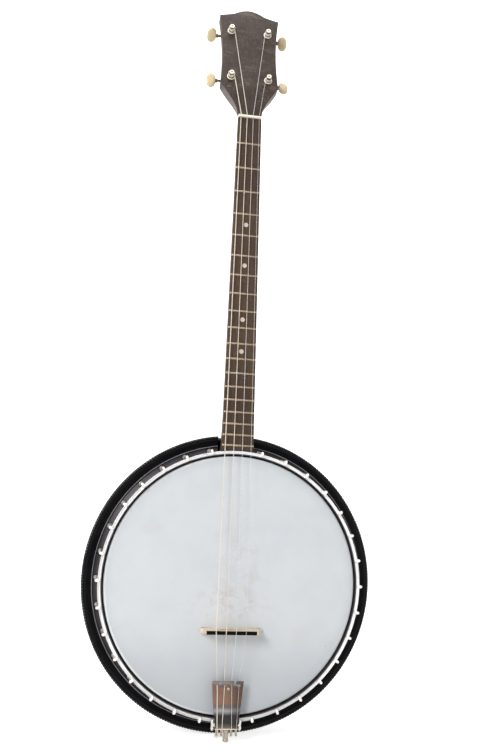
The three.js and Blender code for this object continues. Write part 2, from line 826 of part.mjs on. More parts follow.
function buildPost() {
  const top = -ferruleHeight - postHeight;
  const gearFront = gearDepth - gearWidth / 2;
  const gearBack = gearDepth + gearWidth / 2;
  const gear = slab(gearOutline(), gearFront, gearBack);
  const places = gear.attributes.position;
  const slope = wormPitch / (2 * Math.PI * wormPitchRadius);
  for (let i = 0; i < places.count; i += 1) {
    const turn = -slope * (places.getY(i) - gearDepth) / gearPitchRadius;
    const x = places.getX(i);
    const z = places.getZ(i);
    places.setX(i, x * Math.cos(turn) - z * Math.sin(turn));
    places.setZ(i, x * Math.sin(turn) + z * Math.cos(turn));
  }
  const post = turned([
    [0, top],
    [postRadius - postBevel, top],
    [postRadius, top + postBevel],
    [postRadius, gearDepth],
    [gearScrewRadius, gearDepth],
    [gearScrewRadius, gearBack + gearScrewHeight],
    [0, gearBack + gearScrewHeight],
  ], pinSides);
  const holeDepth = -ferruleHeight - postHolePlace;
  const hole = crossPin(postHoleRadius, -2 * postRadius, 2 * postRadius, holeDepth, 0, wireSides);
  return cut(join(post, gear), hole);
}

// The worm's thread is a ridge that climbs a fixed pitch each turn, sunk into the worm's core.
function threadRidge() {
  const outer = wormPitchRadius + gearModule * toothTopShare;
  const root = wormCoreRadius * ridgeRootShare;
  const crestHalf = wormPitch * ridgeCrestShare;
  const footHalf = crestHalf + (outer - root) * ridgeSlopeShare;
  const steps = wormTurns * threadSteps;
  const sections = [];
  for (let i = 0; i <= steps; i += 1) {
    const turn = 2 * Math.PI * wormTurns * (i / steps - 0.5);
    const along = wormPitch * turn / (2 * Math.PI);
    const angle = turn - Math.PI / 2;
    sections.push([[root, footHalf], [outer, crestHalf], [outer, -crestHalf], [root, -footHalf]].map(
      ([radius, shift]) => new THREE.Vector3(along + shift, radius * Math.cos(angle), radius * Math.sin(angle)),
    ));
  }
  return loft(sections);
}

function buildButton(turn) {
  const inner = -wormLength / 2 - 2 * seatGap - earThickness;
  const buttonCentre = buttonPlace - postSpread / 2;
  const buttonInner = buttonCentre - buttonLength / 2;
  const shaft = crossPin(shaftRadius, inner, buttonCentre, 0, 0, holeSides);
  const core = crossPin(wormCoreRadius, -wormLength / 2, wormLength / 2, 0, 0, holeSides);
  core.rotateX(Math.PI / holeSides);
  const collar = crossPin(buttonCollarRadius, buttonInner - buttonCollarLength, buttonCentre, 0, 0, holeSides);
  const knob = new THREE.SphereGeometry(1 / 2, pinSides, wireSides);
  knob.scale(buttonLength, buttonThickness, buttonHeight).rotateX(turn).translate(buttonCentre, 0, 0);
  const parts = join(threadRidge(), core, shaft, collar, knob);
  return parts.translate(0, gearDepth, wormDistance);
}

function buildPlate() {
  const sleeveInner = postRadius + seatGap;
  const sleeveOuter = sleeveInner + sleeveWall;
  const back = plateFront + plateThickness;
  const half = plateWidth / 2;
  const top = wormDistance + plateAbove;
  const plate = slab(polygon([
    [-half, -plateBelow + plateCorner],
    [-half + plateCorner, -plateBelow],
    [half - plateCorner, -plateBelow],
    [half, -plateBelow + plateCorner],
    [half, top - plateCorner],
    [half - plateCorner, top],
    [-half + plateCorner, top],
    [-half, top - plateCorner],
  ]), plateFront, back);
  const ferrule = turned([
    [sleeveInner, -ferruleHeight],
    [ferruleRadius - ferruleBevel, -ferruleHeight],
    [ferruleRadius, -ferruleHeight + ferruleBevel],
    [ferruleRadius, -washerHeight],
    [washerRadius, -washerHeight],
    [washerRadius, -seatGap],
    [sleeveOuter, -seatGap],
    [sleeveOuter, plateFront + plateThickness / 2],
    [sleeveInner, plateFront + plateThickness / 2],
  ], pinSides);
  const earBack = gearDepth + earAbove;
  const earFront = plateFront + plateThickness / 2;
  const ears = [-1, 1].map((sideSign) => {
    const x = sideSign * (wormLength / 2 + seatGap + earThickness / 2);
    return block(earThickness, earBack - earFront, earWidth, x, (earBack + earFront) / 2, wormDistance);
  });
  const bore = depthPin(sleeveInner, plateFront - cutOverrun, back + cutOverrun, 0, 0);
  const journal = crossPin(shaftRadius + seatGap, -plateWidth, plateWidth, gearDepth, wormDistance, holeSides);
  return cut(join(plate, ferrule, ...ears), bore, journal);
}

function buildTuners() {
  const post = buildPost();
  const plate = buildPlate();
  tunerPlaces.forEach(([x, z], i) => {
    const number = i + 1;
    const flip = (geometry) => (x < 0 ? mirrored(geometry) : geometry.clone());
    piece(peghead, `tuner_${number}_plate`, flip(plate), 'nickel').position.set(x, 0, z);
    piece(peghead, `tuner_${number}_post`, flip(post), 'nickel').position.set(x, 0, z);
    piece(peghead, `tuner_${number}_button`, flip(buildButton(buttonTurns[i])), 'cream').position.set(x, 0, z);
  });
}

function bridgePlaceOf(i) {
  return (i - (stringGauges.length - 1) / 2) * bridgeSpacing;
}

function buildBridge() {
  const half = bridgeLength / 2;
  const topHalf = bridgeTopLength / 2;
  const foot = bridgeFoot / 2;
  const outline = new THREE.Shape();
  outline.moveTo(-half, 0);
  outline.lineTo(-half + bridgeFoot, 0);
  const archStart = -half + bridgeFoot;
  outline.quadraticCurveTo((archStart - foot) / 2, 2 * bridgeArch, -foot, 0);
  outline.lineTo(foot, 0);
  outline.quadraticCurveTo((foot - archStart) / 2, 2 * bridgeArch, -archStart, 0);
  outline.lineTo(half, 0);
  outline.lineTo(half, bridgeFootHeight);
  outline.quadraticCurveTo(topHalf, bridgeHeight * bridgeSideShare, topHalf, bridgeHeight);
  outline.lineTo(-topHalf, bridgeHeight);
  outline.quadraticCurveTo(-topHalf, bridgeHeight * bridgeSideShare, -half, bridgeFootHeight);
  outline.lineTo(-half, 0);
  const front = new THREE.ExtrudeGeometry(outline, {
    depth: bridgeBase,
    bevelEnabled: false,
    curveSegments: stringSides,
  });
  front.translate(0, 0, -bridgeBase / 2);
  const wedge = crossBar([
    [-bridgeBase / 2, 0],
    [bridgeBase / 2, 0],
    [bridgeBase / 2, bridgeFootHeight],
    [bridgeCrest / 2, bridgeHeight],
    [-bridgeCrest / 2, bridgeHeight],
    [-bridgeBase / 2, bridgeFootHeight],
  ], bridgeLength + cutOverrun).rotateZ(Math.PI);
  const notches = stringGauges.map((gauge, i) => block(
    gauge + 2 * slotSideGap, 2 * bridgeNotch, bridgeBase, bridgeShift - bridgePlaceOf(i), bridgeHeight, 0,
  ));
  const bridge = cut(common(front, wedge), ...notches);
  bridge.rotateZ(Math.PI).translate(bridgeShift, headDrop - seatGap, bridgePlace);
  piece(pot, 'bridge', bridge, 'maple');
}

const fingerPlaces = [-fingerSpread / 2, -fingerInnerSpread / 2, fingerInnerSpread / 2, fingerSpread / 2];

function trayHalfAt(place) {
  const share = (place - trayFront) / (trayWaist - trayFront);
  return THREE.MathUtils.lerp(trayFrontWidth, trayWaistWidth, share) / 2;
}

function buildTailpiece() {
  const windowFront = trayFront + trayBand;
  const windowBack = windowFront + trayWindow;
  const outline = polygon([
    [-trayFrontWidth / 2, -trayFront],
    [-trayWaistWidth / 2, -trayWaist],
    [-trayEndWidth / 2, -trayEnd],
    [trayEndWidth / 2, -trayEnd],
    [trayWaistWidth / 2, -trayWaist],
    [trayFrontWidth / 2, -trayFront],
  ]);
  const sheet = slab(outline, -trayRise, trayBack);
  const thick = trayThickness;
  const flanges = [-1, 1].map((sideSign) => {
    const frontHalf = trayHalfAt(trayFront + thick);
    const backHalf = trayHalfAt(trayWaist);
    return slab(polygon([
      [sideSign * frontHalf, -trayFront - thick],
      [sideSign * backHalf, -trayWaist],
      [sideSign * (backHalf - thick), -trayWaist],
      [sideSign * (frontHalf - thick), -trayFront - thick],
    ]), -trayRise, trayBack + trayFlange);
  });
  const foldDepth = trayBack + trayFold;
  const foldMiddle = (foldDepth - trayRise) / 2;
  const fold = block(trayEndWidth, foldDepth + trayRise, thick, 0, foldMiddle, thick / 2 - trayEnd);
  const fingers = fingerPlaces.map((x) => {
    const reach = block(fingerWidth, thick, fingerReach, x, trayBack - thick / 2, -trayEnd - fingerReach / 2);
    const tipFront = -trayRise - fingerRise;
    const tipPlace = -trayEnd - fingerReach + thick / 2;
    const tip = block(fingerWidth, trayBack - tipFront, thick, x, (trayBack + tipFront) / 2, tipPlace);
    return join(reach.translate(0, 0, thick / 2), tip);
  });
  const depth = trayFlange + trayRise + cutOverrun;
  const slotMiddle = -trayFront - (trayBand - cutOverrun) / 2;
  const cuts = [-1, 1].flatMap((sideSign) => {
    const x = sideSign * traySlotSpread / 2;
    return [
      block(trayWindowWidth, depth, trayWindow, x, -trayRise, -(windowFront + windowBack) / 2),
      block(traySlotWidth, depth, trayBand + cutOverrun, x, -trayRise, slotMiddle),
    ];
  });
  const screwRadius = tailScrewShank / 2 + seatGap;
  const screwHole = risePin(screwRadius, -trayEnd - cutOverrun, cutOverrun - trayEnd, 0, hangerBarDepth);
  piece(pot, 'tailpiece', cut(join(sheet, ...flanges, fold, ...fingers), ...cuts, screwHole), 'nickel');
}

function buildTailHanger() {
  const bar = crossPin(hangerBarRadius, -hangerEarPlace, hangerEarPlace, hangerBarDepth, -hookPlace);
  const shank = depthPin(hangerShankRadius, hangerBarDepth, hookEnd, 0, -hookPlace, holeSides);
  const nut = depthPin(hookNutWidth / 2, hookNutFront, hookNutFront + hookNutHeight, 0, -hookPlace, wireSides);
  const ears = [-1, 1].map((sideSign) => {
    const ear = new THREE.SphereGeometry(1 / 2, holeSides, wireSides);
    ear.scale(hangerEarWidth, hangerEarDepth, hangerEarHeight);
    return ear.translate(sideSign * hangerEarPlace, hangerBarDepth, -hookPlace);
  });
  piece(pot, 'tailpiece_hanger', join(bar, shank, nut, ...ears), 'nickel');

  const inner = -hookPlace - hangerBarRadius - seatGap;
  const headTop = -trayEnd - seatGap;
  const screwShank = risePin(tailScrewShank / 2, headTop - tailScrewShank, inner, 0, hangerBarDepth, holeSides);
  const head = risePin(tailScrewHead / 2, headTop - tailScrewHeadLength, headTop, 0, hangerBarDepth);
  const slotPlace = headTop - tailScrewHeadLength;
  const slot = block(2 * tailScrewHead, tailScrewSlot, 2 * tailScrewSlotDepth, 0, hangerBarDepth, slotPlace);
  piece(pot, 'tailpiece_screw', cut(join(head, screwShank), slot), 'nickel');
}

// The string's loop round its finger, then the tray, the bridge and the nut, then the turns on its post
function stringRoute(i) {
  const radius = stringGauges[i] / 2;
  const points = [];
  const finger = fingerPlaces[i];
  const tipPlace = -trayEnd - fingerReach + trayThickness / 2;
  const loopRadius = fingerWidth / 2 + loopGap + radius + seatGap;
  const loopDepth = -trayRise - seatGap - radius;
  for (let k = 0; k <= loopPoints; k += 1) {
    const turn = 2 * Math.PI * (loopStartShare + loopSweepShare * k / loopPoints);
    const x = finger + loopRadius * Math.cos(turn);
    points.push(new THREE.Vector3(x, loopDepth, tipPlace + loopRadius * Math.sin(turn)));
  }
  const trayPlace = (i - (stringGauges.length - 1) / 2) * traySpacing;
  const windowFront = trayFront + trayBand;
  const under = trayBack + seatGap + radius;
  points.push(new THREE.Vector3(finger + loopRadius * loopLeaveShare, loopDepth, -trayEnd + trayThickness));
  points.push(new THREE.Vector3(trayPlace, loopDepth, -windowFront - trayWindow + radius));
  points.push(new THREE.Vector3(trayPlace, under, -windowFront - radius));
  points.push(new THREE.Vector3(trayPlace, under, -trayFront));
  const overBridge = bridgeTop + bridgeNotch - seatGap - radius;
  points.push(new THREE.Vector3(bridgePlaceOf(i), overBridge, bridgePlace));
  const atNut = -stringHeightAtNut - radius;
  for (const place of [0, nutThickness]) {
    points.push(neck.localToWorld(new THREE.Vector3(nutPlaceOf(i), atNut, boardLength + seatGap + place)));
  }
  const [postX, postZ] = tunerPlaces[i];
  const coil = postRadius + seatGap + radius;
  const start = ferruleHeight + windingStart + radius;
  const from = peghead.worldToLocal(points.at(-1).clone());
  const toPost = Math.atan2(postZ - from.z, postX - from.x);
  const distance = Math.hypot(postZ - from.z, postX - from.x);
  const way = postX < 0 ? 1 : -1;
  const first = toPost + Math.PI + way * Math.acos(coil / distance);
  const climb = stringGauges[i] + windingGap;
  const steps = windingTurns * loopSteps;
  const turns = [];
  for (let k = 0; k <= steps; k += 1) {
    const turn = first + way * 2 * Math.PI * k / loopSteps;
    const height = start + climb * k / loopSteps;
    turns.push(new THREE.Vector3(postX + coil * Math.cos(turn), -height, postZ + coil * Math.sin(turn)));
  }
  return { radius, points, turns: turns.map((point) => peghead.localToWorld(point)) };
}

// The smallest clear space between two turns of one winding, measured between its points
function leastTurnGap(turns, radius) {
  let least = Infinity;
  for (let a = 0; a < turns.length; a += 1) {
    for (let b = a + loopSteps / 2; b < turns.length; b += 1) {
      least = Math.min(least, turns[a].distanceTo(turns[b]));
    }
  }
  return least - 2 * radius;
}

function buildStrings() {
  stringGauges.forEach((gauge, i) => {
    const { radius, points, turns } = stringRoute(i);
    console.log(`string_${i + 1} least gap between turns ${leastTurnGap(turns, radius).toFixed(2)} mm`);
    const look = i < stringGauges.length / 2 ? 'bronze' : 'steel';
    piece(pot, `string_${i + 1}`, wire([...points, ...turns], radius, stringSides), look);
  });
}

buildRim();
buildDrumHead();
buildTensionHoop();
buildHooks();
buildResonator();
buildStick();
buildNeck();
buildFingerboard();
buildNut();
buildTuners();
buildBridge();
buildTailpiece();
buildTailHanger();
buildStrings();

// The origin moves to the middle of the peghead's lower flare, where a hanger's fork carries it.
const hangerPoint = peghead.localToWorld(new THREE.Vector3(0, pegheadThickness / 2, hangerPlace));
pot.position.copy(hangerPoint).negate();

export default part;
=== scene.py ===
from math import acos, asin, atan2, cos, hypot, pi, radians, sin, sqrt

import bmesh
import bpy
from mathutils import Matrix, Vector


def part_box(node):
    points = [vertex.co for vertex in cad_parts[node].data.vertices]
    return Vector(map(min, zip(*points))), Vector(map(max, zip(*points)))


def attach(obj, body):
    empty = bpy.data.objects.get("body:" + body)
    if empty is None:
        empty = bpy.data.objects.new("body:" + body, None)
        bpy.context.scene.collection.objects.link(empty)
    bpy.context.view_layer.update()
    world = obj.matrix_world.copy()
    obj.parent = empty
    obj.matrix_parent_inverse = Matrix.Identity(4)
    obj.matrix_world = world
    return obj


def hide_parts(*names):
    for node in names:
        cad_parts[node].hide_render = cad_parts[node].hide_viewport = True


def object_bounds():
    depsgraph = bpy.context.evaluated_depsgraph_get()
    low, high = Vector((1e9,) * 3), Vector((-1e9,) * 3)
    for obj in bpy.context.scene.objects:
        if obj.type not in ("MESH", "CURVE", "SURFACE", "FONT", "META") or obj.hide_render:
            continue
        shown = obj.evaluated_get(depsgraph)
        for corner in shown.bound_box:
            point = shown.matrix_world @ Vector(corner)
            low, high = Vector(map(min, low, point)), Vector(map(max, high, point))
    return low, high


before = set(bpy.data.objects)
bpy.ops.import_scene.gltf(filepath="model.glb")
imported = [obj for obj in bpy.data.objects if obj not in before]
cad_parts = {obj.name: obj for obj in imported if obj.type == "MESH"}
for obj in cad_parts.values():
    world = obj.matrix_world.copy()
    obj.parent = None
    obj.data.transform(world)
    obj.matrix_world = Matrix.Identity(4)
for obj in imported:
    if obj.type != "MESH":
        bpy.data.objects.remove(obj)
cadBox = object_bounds()

millimetre = 0.001
white = (1, 1, 1)

# The three frames of the instrument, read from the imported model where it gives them
hoopLow, hoopHigh = (Vector(corner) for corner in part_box("tension_hoop"))
potOrigin = Vector((0, hoopLow.y, (hoopLow.z + hoopHigh.z) / 2))
board = {"end": 147.0, "length": 404.97, "rise": 0.8, "pitch": radians(2.5), "scale": 600.0}
peg = {"drop": 3.0, "nut": 3.4, "gap": 0.3, "angle": radians(12), "thickness": 13.0}
potFrame = Matrix.Translation(potOrigin) @ Matrix.Scale(millimetre, 4)
neckFrame = (
    potFrame
    @ Matrix.Translation((0, -board["rise"], board["end"]))
    @ Matrix.Rotation(-board["pitch"], 4, "X")
)
pegFrame = (
    neckFrame
    @ Matrix.Translation((0, peg["drop"], board["length"] + peg["nut"] + 2 * peg["gap"]))
    @ Matrix.Rotation(-peg["angle"], 4, "X")
)

cameraSettings = {
    "place": (-136.24, -895.35, 103.9),
    "forward": (0.15306, 0.97862, 0.13739),
    "up": (-0.0638, -0.12895, 0.9896),
    "lens": 38.083,
    "sensor": 36,
}


def makeCamera(settings):
    data = bpy.data.cameras.new("view")
    data.sensor_fit = "VERTICAL"
    data.sensor_height = settings["sensor"]
    data.lens = settings["lens"]
    data.clip_start = 0.01
    camera = bpy.data.objects.new("view", data)
    bpy.context.collection.objects.link(camera)
    forward = Vector(settings["forward"]).normalized()
    right = forward.cross(Vector(settings["up"])).normalized()
    up = right.cross(forward)
    turn = Matrix((right, up, -forward)).transposed().to_4x4()
    camera.matrix_world = Matrix.Translation(potFrame @ Vector(settings["place"])) @ turn
    bpy.context.scene.camera = camera


makeCamera(cameraSettings)
print("camera placed")


class Field:
    # A shader socket that takes part in Python sums, each of which adds its Math node
    def __init__(self, tree, socket):
        self.tree = tree
        self.socket = socket

    def run(self, operation, *others, clamp=False):
        settings = {"operation": operation, "use_clamp": clamp}
        return addNode(self.tree, "ShaderNodeMath", settings, dict(enumerate((self, *others))))

    def __add__(self, other):
        return self.run("ADD", other)

    __radd__ = __add__

    def __sub__(self, other):
        return self.run("SUBTRACT", other)

    def __rsub__(self, other):
        return self * -1 + other

    def __mul__(self, other):
        return self.run("MULTIPLY", other)

    __rmul__ = __mul__

    def __truediv__(self, other):
        return self.run("DIVIDE", other)

    def __abs__(self):
        return self.run("ABSOLUTE")

    def clamped(self):
        return self.run("ADD", 0.0, clamp=True)

    def larger(self, other):
        return self.run("MAXIMUM", other)

    def wave(self):
        return self.run("SINE")

    def root(self):
        return self.run("SQRT")

    def step(self, start, end):
        values = {"Value": self, "From Min": min(start, end), "From Max": max(start, end)}
        values["To Min"], values["To Max"] = (0, 1) if start < end else (1, 0)
        return addNode(self.tree, "ShaderNodeMapRange", {"interpolation_type": "SMOOTHSTEP"}, values)


def addNode(tree, kind, settings, values, output=0):
    # Any shader node: its settings come first, then the values or links of its sockets
    node = tree.nodes.new(kind)
    for name, value in settings.items():
        if name != "stops":
            setattr(node, name, value)
            continue
        points = node.color_ramp.elements
        while len(points) < len(value):
            points.new(0.5)
        for point, (place, colour) in zip(points, value):
            point.position = place
            point.color = (*colour, 1)
    for name, value in values.items():
        slot = node.inputs[name]
        if isinstance(value, Field):
            tree.links.new(value.socket, slot)
        elif isinstance(value, tuple) and len(value) < len(slot.default_value):
            slot.default_value = (*value, 1)
        else:
            slot.default_value = value
    return Field(tree, node.outputs[output])


def seenRays(tree):
    # One for what the camera sees, straight or mirrored, and nought for the light that falls on the object
    camera = addNode(tree, "ShaderNodeLightPath", {}, {}, "Is Camera Ray")
    return camera.larger(addNode(tree, "ShaderNodeLightPath", {}, {}, "Is Glossy Ray"))


class Surface:
    # One procedural material. Its coordinates are millimetres in the pot's frame.
    def __init__(self, name, metallic=0.0, coat=0.0, coatRoughness=0.1, specular=0.5, shade=0.8):
        self.material = bpy.data.materials.new(name)
        self.material.use_nodes = True
        self.tree = self.material.node_tree
        self.shader = self.tree.nodes["Principled BSDF"]
        uniform = {
            "Metallic": metallic, "Specular IOR Level": specular, "Coat Weight": coat,
            "Coat Roughness": coatRoughness,
        }
        for socket, value in uniform.items():
            self.shader.inputs[socket].default_value = value
        self.shade = shade
        self.height = None
        place = self.node("ShaderNodeTexCoord", output="Object")
        self.place = self.mapped(place, -potOrigin / millimetre, (1 / millimetre,) * 3)

    def node(self, kind, settings=None, values=None, output=0):
        return addNode(self.tree, kind, settings or {}, values or {}, output)

    def feed(self, socket, field):
        self.tree.links.new(field.socket, self.shader.inputs[socket])
        return self

    def mapped(self, vector, shift=(0, 0, 0), scale=(1, 1, 1)):
        return self.node("ShaderNodeMapping", {}, {"Vector": vector, "Location": shift, "Scale": scale})

    def axis(self, index, vector=None):
        return self.node("ShaderNodeSeparateXYZ", {}, {0: vector or self.place}, index)

    def along(self):
        return self.node("ShaderNodeUVMap")

    def normal(self, index):
        return self.axis(index, self.node("ShaderNodeTexCoord", output="Normal"))

    def distance(self, x, z, wide=1.0, high=1.0):
        sideways = (self.axis(0) - x) * (1 / wide)
        upwards = (self.axis(2) - z) * (1 / high)
        return (sideways * sideways + upwards * upwards).root()

    def stroke(self, start, end, wide):
        # One straight mark between two places of X and Z
        along = Vector(end) - Vector(start)
        length = along.length
        way = along / length
        across = self.axis(0) * way.y - self.axis(2) * way.x - (start[0] * way.y - start[1] * way.x)
        reach = self.axis(0) * way.x + self.axis(2) * way.y - (start[0] * way.x + start[1] * way.y)
        inside = reach.step(0, 0.2 * length) * reach.step(length, 0.75 * length)
        return abs(across).step(wide, 0.3 * wide) * inside

    def noise(self, size, detail=3, rough=0.55, stretch=(1, 1, 1), warp=0.0):
        scaled = self.mapped(self.place, scale=tuple(1 / s for s in stretch))
        values = {"Vector": scaled, "Scale": 1 / size, "Detail": detail, "Roughness": rough, "Distortion": warp}
        return self.node("ShaderNodeTexNoise", {}, values, "Fac")

    def cells(self, size, shift=(0, 0, 0)):
        values = {"Vector": self.mapped(self.place, shift), "Scale": 1 / size}
        return self.node("ShaderNodeTexVoronoi", {}, values, "Distance")

    def ramp(self, field, stops):
        return self.node("ShaderNodeValToRGB", {"stops": stops}, {0: field})

    def mix(self, first, second, share):
        return self.node("ShaderNodeMix", {"data_type": "RGBA"}, {6: first, 7: second, 0: share}, 2)

    def colour(self, tone):
        return self.feed("Base Color", self.mix(tone, (0, 0, 0), 1 - self.shade))

    def roughness(self, field):
        return self.feed("Roughness", field.clamped())

    def bump(self, field, height):
        values = {"Distance": height * millimetre, "Strength": 1, "Height": field}
        if self.height:
            values["Normal"] = self.height
        self.height = self.node("ShaderNodeBump", {}, values)
        return self.feed("Normal", self.height)



# Outlines and sections, in the millimetres of one of the frames
def rounded(points, reach, steps=4, closed=True):
    out = []
    count = len(points)
    for i, point in enumerate(points):
        here = Vector(point)
        before, after = Vector(points[i - 1]), Vector(points[(i + 1) % count])
        toward, away = before - here, after - here
        cut = reach[i] if isinstance(reach, (list, tuple)) else reach
        cut = min(cut, 0.48 * toward.length, 0.48 * away.length)
        straight = cut < 1e-6 or (toward.normalized() + away.normalized()).length < 0.02
        if straight or (not closed and i in (0, count - 1)):
            out.append(here)
            continue
        first = here + toward.normalized() * cut
        last = here + away.normalized() * cut
        out += bent(first, here, last, steps) + [last]
    return out


def bent(start, control, end, steps):
    a, b, c = Vector(start), Vector(control), Vector(end)
    shares = [k / steps for k in range(steps)]
    return [a * (1 - t) ** 2 + b * (2 * t * (1 - t)) + c * t * t for t in shares]


def cubic(start, first, second, end, steps):
    a, b, c, d = Vector(start), Vector(first), Vector(second), Vector(end)
    shares = [k / steps for k in range(steps)]
    return [a * (1 - t) ** 3 + b * 3 * t * (1 - t) ** 2 + c * 3 * t * t * (1 - t) + d * t ** 3 for t in shares]


def arc(x, y, radius, start, end, steps):
    turns = (start + (end - start) * k / steps for k in range(steps + 1))
    return [Vector((x + radius * cos(turn), y + radius * sin(turn))) for turn in turns]


def disc(x, y, radius, sides):
    return arc(x, y, radius, 0, 2 * pi, sides)[:-1]


def inset(outline, amount):
    count = len(outline)
    area = sum(outline[i - 1].x * outline[i].y - outline[i].x * outline[i - 1].y for i in range(count))
    side = 1 if area > 0 else -1
    out = []
    for i, point in enumerate(outline):
        before = (point - outline[i - 1]).normalized()
        after = (outline[(i + 1) % count] - point).normalized()
        along = (before + after).normalized()
        inwards = Vector((-along.y, along.x)) * side
        reach = max(0.4, sqrt(max(0.0, (1 + before.dot(after)) / 2)))
        out.append(point + inwards * amount / reach)
    return out


# Forms, each started from a primitive and shaped in edit mode
def pick(form):
    bpy.ops.object.select_all(action="DESELECT")
    form.select_set(True)
    bpy.context.view_layer.objects.active = form


def settle(form, place):
    # The form's place goes into its mesh
    form.matrix_world = place
    pick(form)
    bpy.ops.object.transform_apply(location=True, rotation=True, scale=True)
    return form


def drawCircle(points, fill):
    # A circle with a corner for each point, drawn onto them and left in edit mode
    bpy.ops.object.select_all(action="DESELECT")
    bpy.ops.mesh.primitive_circle_add(vertices=len(points), fill_type=fill, calc_uvs=False, enter_editmode=True)
    form = bpy.context.object
    mesh = bmesh.from_edit_mesh(form.data)
    for corner, point in zip(mesh.verts, points):
        corner.co = point
    return form


def lathe(profile, steps, start=0.0, end=2 * pi, swell=None):
    # A profile of radius and depth, spun round the depth axis
    form = drawCircle(
        [(radius * cos(start), depth, radius * sin(start)) for radius, depth in profile], "NOTHING",
    )
    shares = 8 if steps >= 200 else 1  # a long spin is made as a short one and its copies
    turn = (end - start) / shares
    middle, axis = (0, 0, 0), (0, 1, 0)
    bpy.ops.mesh.select_all(action="SELECT")
    bpy.ops.mesh.spin(steps=steps // shares, angle=turn, center=middle, axis=axis)
    bpy.ops.mesh.select_all(action="SELECT")
    if shares > 1:
        bpy.ops.mesh.spin(steps=shares - 1, dupli=True, angle=turn * (shares - 1), center=middle, axis=axis)
        bpy.ops.mesh.select_all(action="SELECT")
    bpy.ops.mesh.remove_doubles(threshold=0.0005)
    bpy.ops.mesh.delete_loose()
    bpy.ops.mesh.select_all(action="SELECT")
    bpy.ops.mesh.fill_holes(sides=0)
    if swell:
        for corner in bmesh.from_edit_mesh(form.data).verts:
            x, depth, z = corner.co
            radius = hypot(x, z)
            if radius < 0.001:
                continue
            nearest = min(
                range(len(profile)), key=lambda k: abs(profile[k][0] - radius) + abs(profile[k][1] - depth),
            )
            share = 1 + swell(atan2(z, x), nearest) / radius
            corner.co = (x * share, depth, z * share)
    bpy.ops.object.mode_set(mode="OBJECT")
    return form


def skin(rings, spans=None):
    # The first section is a filled circle, extruded from section to section
    count = len(rings[0])
    form = drawCircle(rings[0], "NGON")
    order = dict(enumerate(range(count)))
    known = {}
    bpy.ops.mesh.select_all(action="SELECT")
    for row in range(1, len(rings)):
        step = tuple(rings[row][0] - rings[row - 1][0])
        bpy.ops.mesh.extrude_region_move(TRANSFORM_OT_translate={"value": step})
        mesh = bmesh.from_edit_mesh(form.data)
        mesh.verts.index_update()
        mesh.verts.ensure_lookup_table()
        fresh = {}
        start = len(mesh.verts) - count if row > 1 else 0
        for corner in [corner for corner in mesh.verts[start:] if corner.select]:
            below = next(edge.other_vert(corner) for edge in corner.link_edges if not edge.select)
            k = order.get(below.index, 0)  # the first extrusion takes the first corner along
            corner.co = rings[row][k]
            fresh[corner.index] = k
            known[corner.index], known[below.index] = (k, row), (k, row - 1)
        order = fresh
    if spans:
        layer = mesh.loops.layers.uv.new("along")
        for face in mesh.faces:
            for loop in face.loops:
                k, row = known[loop.vert.index]
                loop[layer].uv = (k / count, spans[row])
    bpy.ops.object.mode_set(mode="OBJECT")
    return form


def prism(outline, front, back, bevel=0.0, steps=3):
    # The outline lies in X and Z; the thickness runs along the depth, with its edges rounded
    outline = [Vector(point) for point in outline]
    turns = [pi / 2 * k / steps for k in range(steps + 1)] if bevel else []
    levels = [(front + bevel * (1 - cos(turn)), bevel * (1 - sin(turn))) for turn in turns] or [(front, 0.0)]
    levels += [(front + back - depth, amount) for depth, amount in reversed(levels)]
    rings = []
    for depth, amount in levels:
        ring = inset(outline, amount) if amount else outline
        rings.append([Vector((point.x, depth, point.y)) for point in ring])
    return skin(rings)


def tube(points, radius, sides, swell=lambda k: 1):
    points = [Vector(point) for point in points]
    last = len(points) - 1
    lengths = [0.0]
    for a, b in zip(points, points[1:]):
        lengths.append(lengths[-1] + (b - a).length)
    tangents = [(points[min(i + 1, last)] - points[max(i - 1, 0)]).normalized() for i in range(last + 1)]
    side = tangents[0].orthogonal().normalized()
    rings, spans = [], []

    def ring(centre, direction, across, reach, span):
        other = direction.cross(across).normalized()
        turns = [2 * pi * k / sides for k in range(sides)]
        rings.append([centre + (across * cos(turn) + other * sin(turn)) * reach for turn in turns])
        spans.append(span)

    cap = [(0.0, 0.35), (0.3, 0.75), (0.6, 0.95)]
    for share, size in cap:
        ring(points[0] - tangents[0] * radius * (1 - share) * 0.8, tangents[0], side, radius * size, 0.0)
    for k, (point, direction, span) in enumerate(zip(points, tangents, lengths)):
        side = (side - direction * side.dot(direction)).normalized()
        ring(point, direction, side, radius * swell(k), span)
    for share, size in reversed(cap):
        ring(
            points[-1] + tangents[-1] * radius * (1 - share) * 0.8, tangents[-1], side, radius * size,
            lengths[-1],
        )
    return skin(rings, spans)


def pin(radius, front, back, x=0.0, z=0.0, sides=48, bevel=0.0):
    bpy.ops.object.select_all(action="DESELECT")
    bpy.ops.mesh.primitive_cylinder_add(vertices=sides, radius=radius, depth=back - front, calc_uvs=False)
    middle = Matrix.Translation((x, (front + back) / 2, z)) @ Matrix.Rotation(pi / 2, 4, "X")
    form = settle(bpy.context.object, middle)
    return softened(form, bevel, lambda face: abs(face.normal.y) > 0.9) if bevel else form


def block(width, depth, height, x, y, z, bevel=0.0):
    bpy.ops.object.select_all(action="DESELECT")
    bpy.ops.mesh.primitive_cube_add(size=1, calc_uvs=False)
    form = settle(
        bpy.context.object, Matrix.Translation((x, y, z)) @ Matrix.Diagonal((width, depth, height, 1)),
    )
    return softened(form, bevel, lambda face: True) if bevel else form


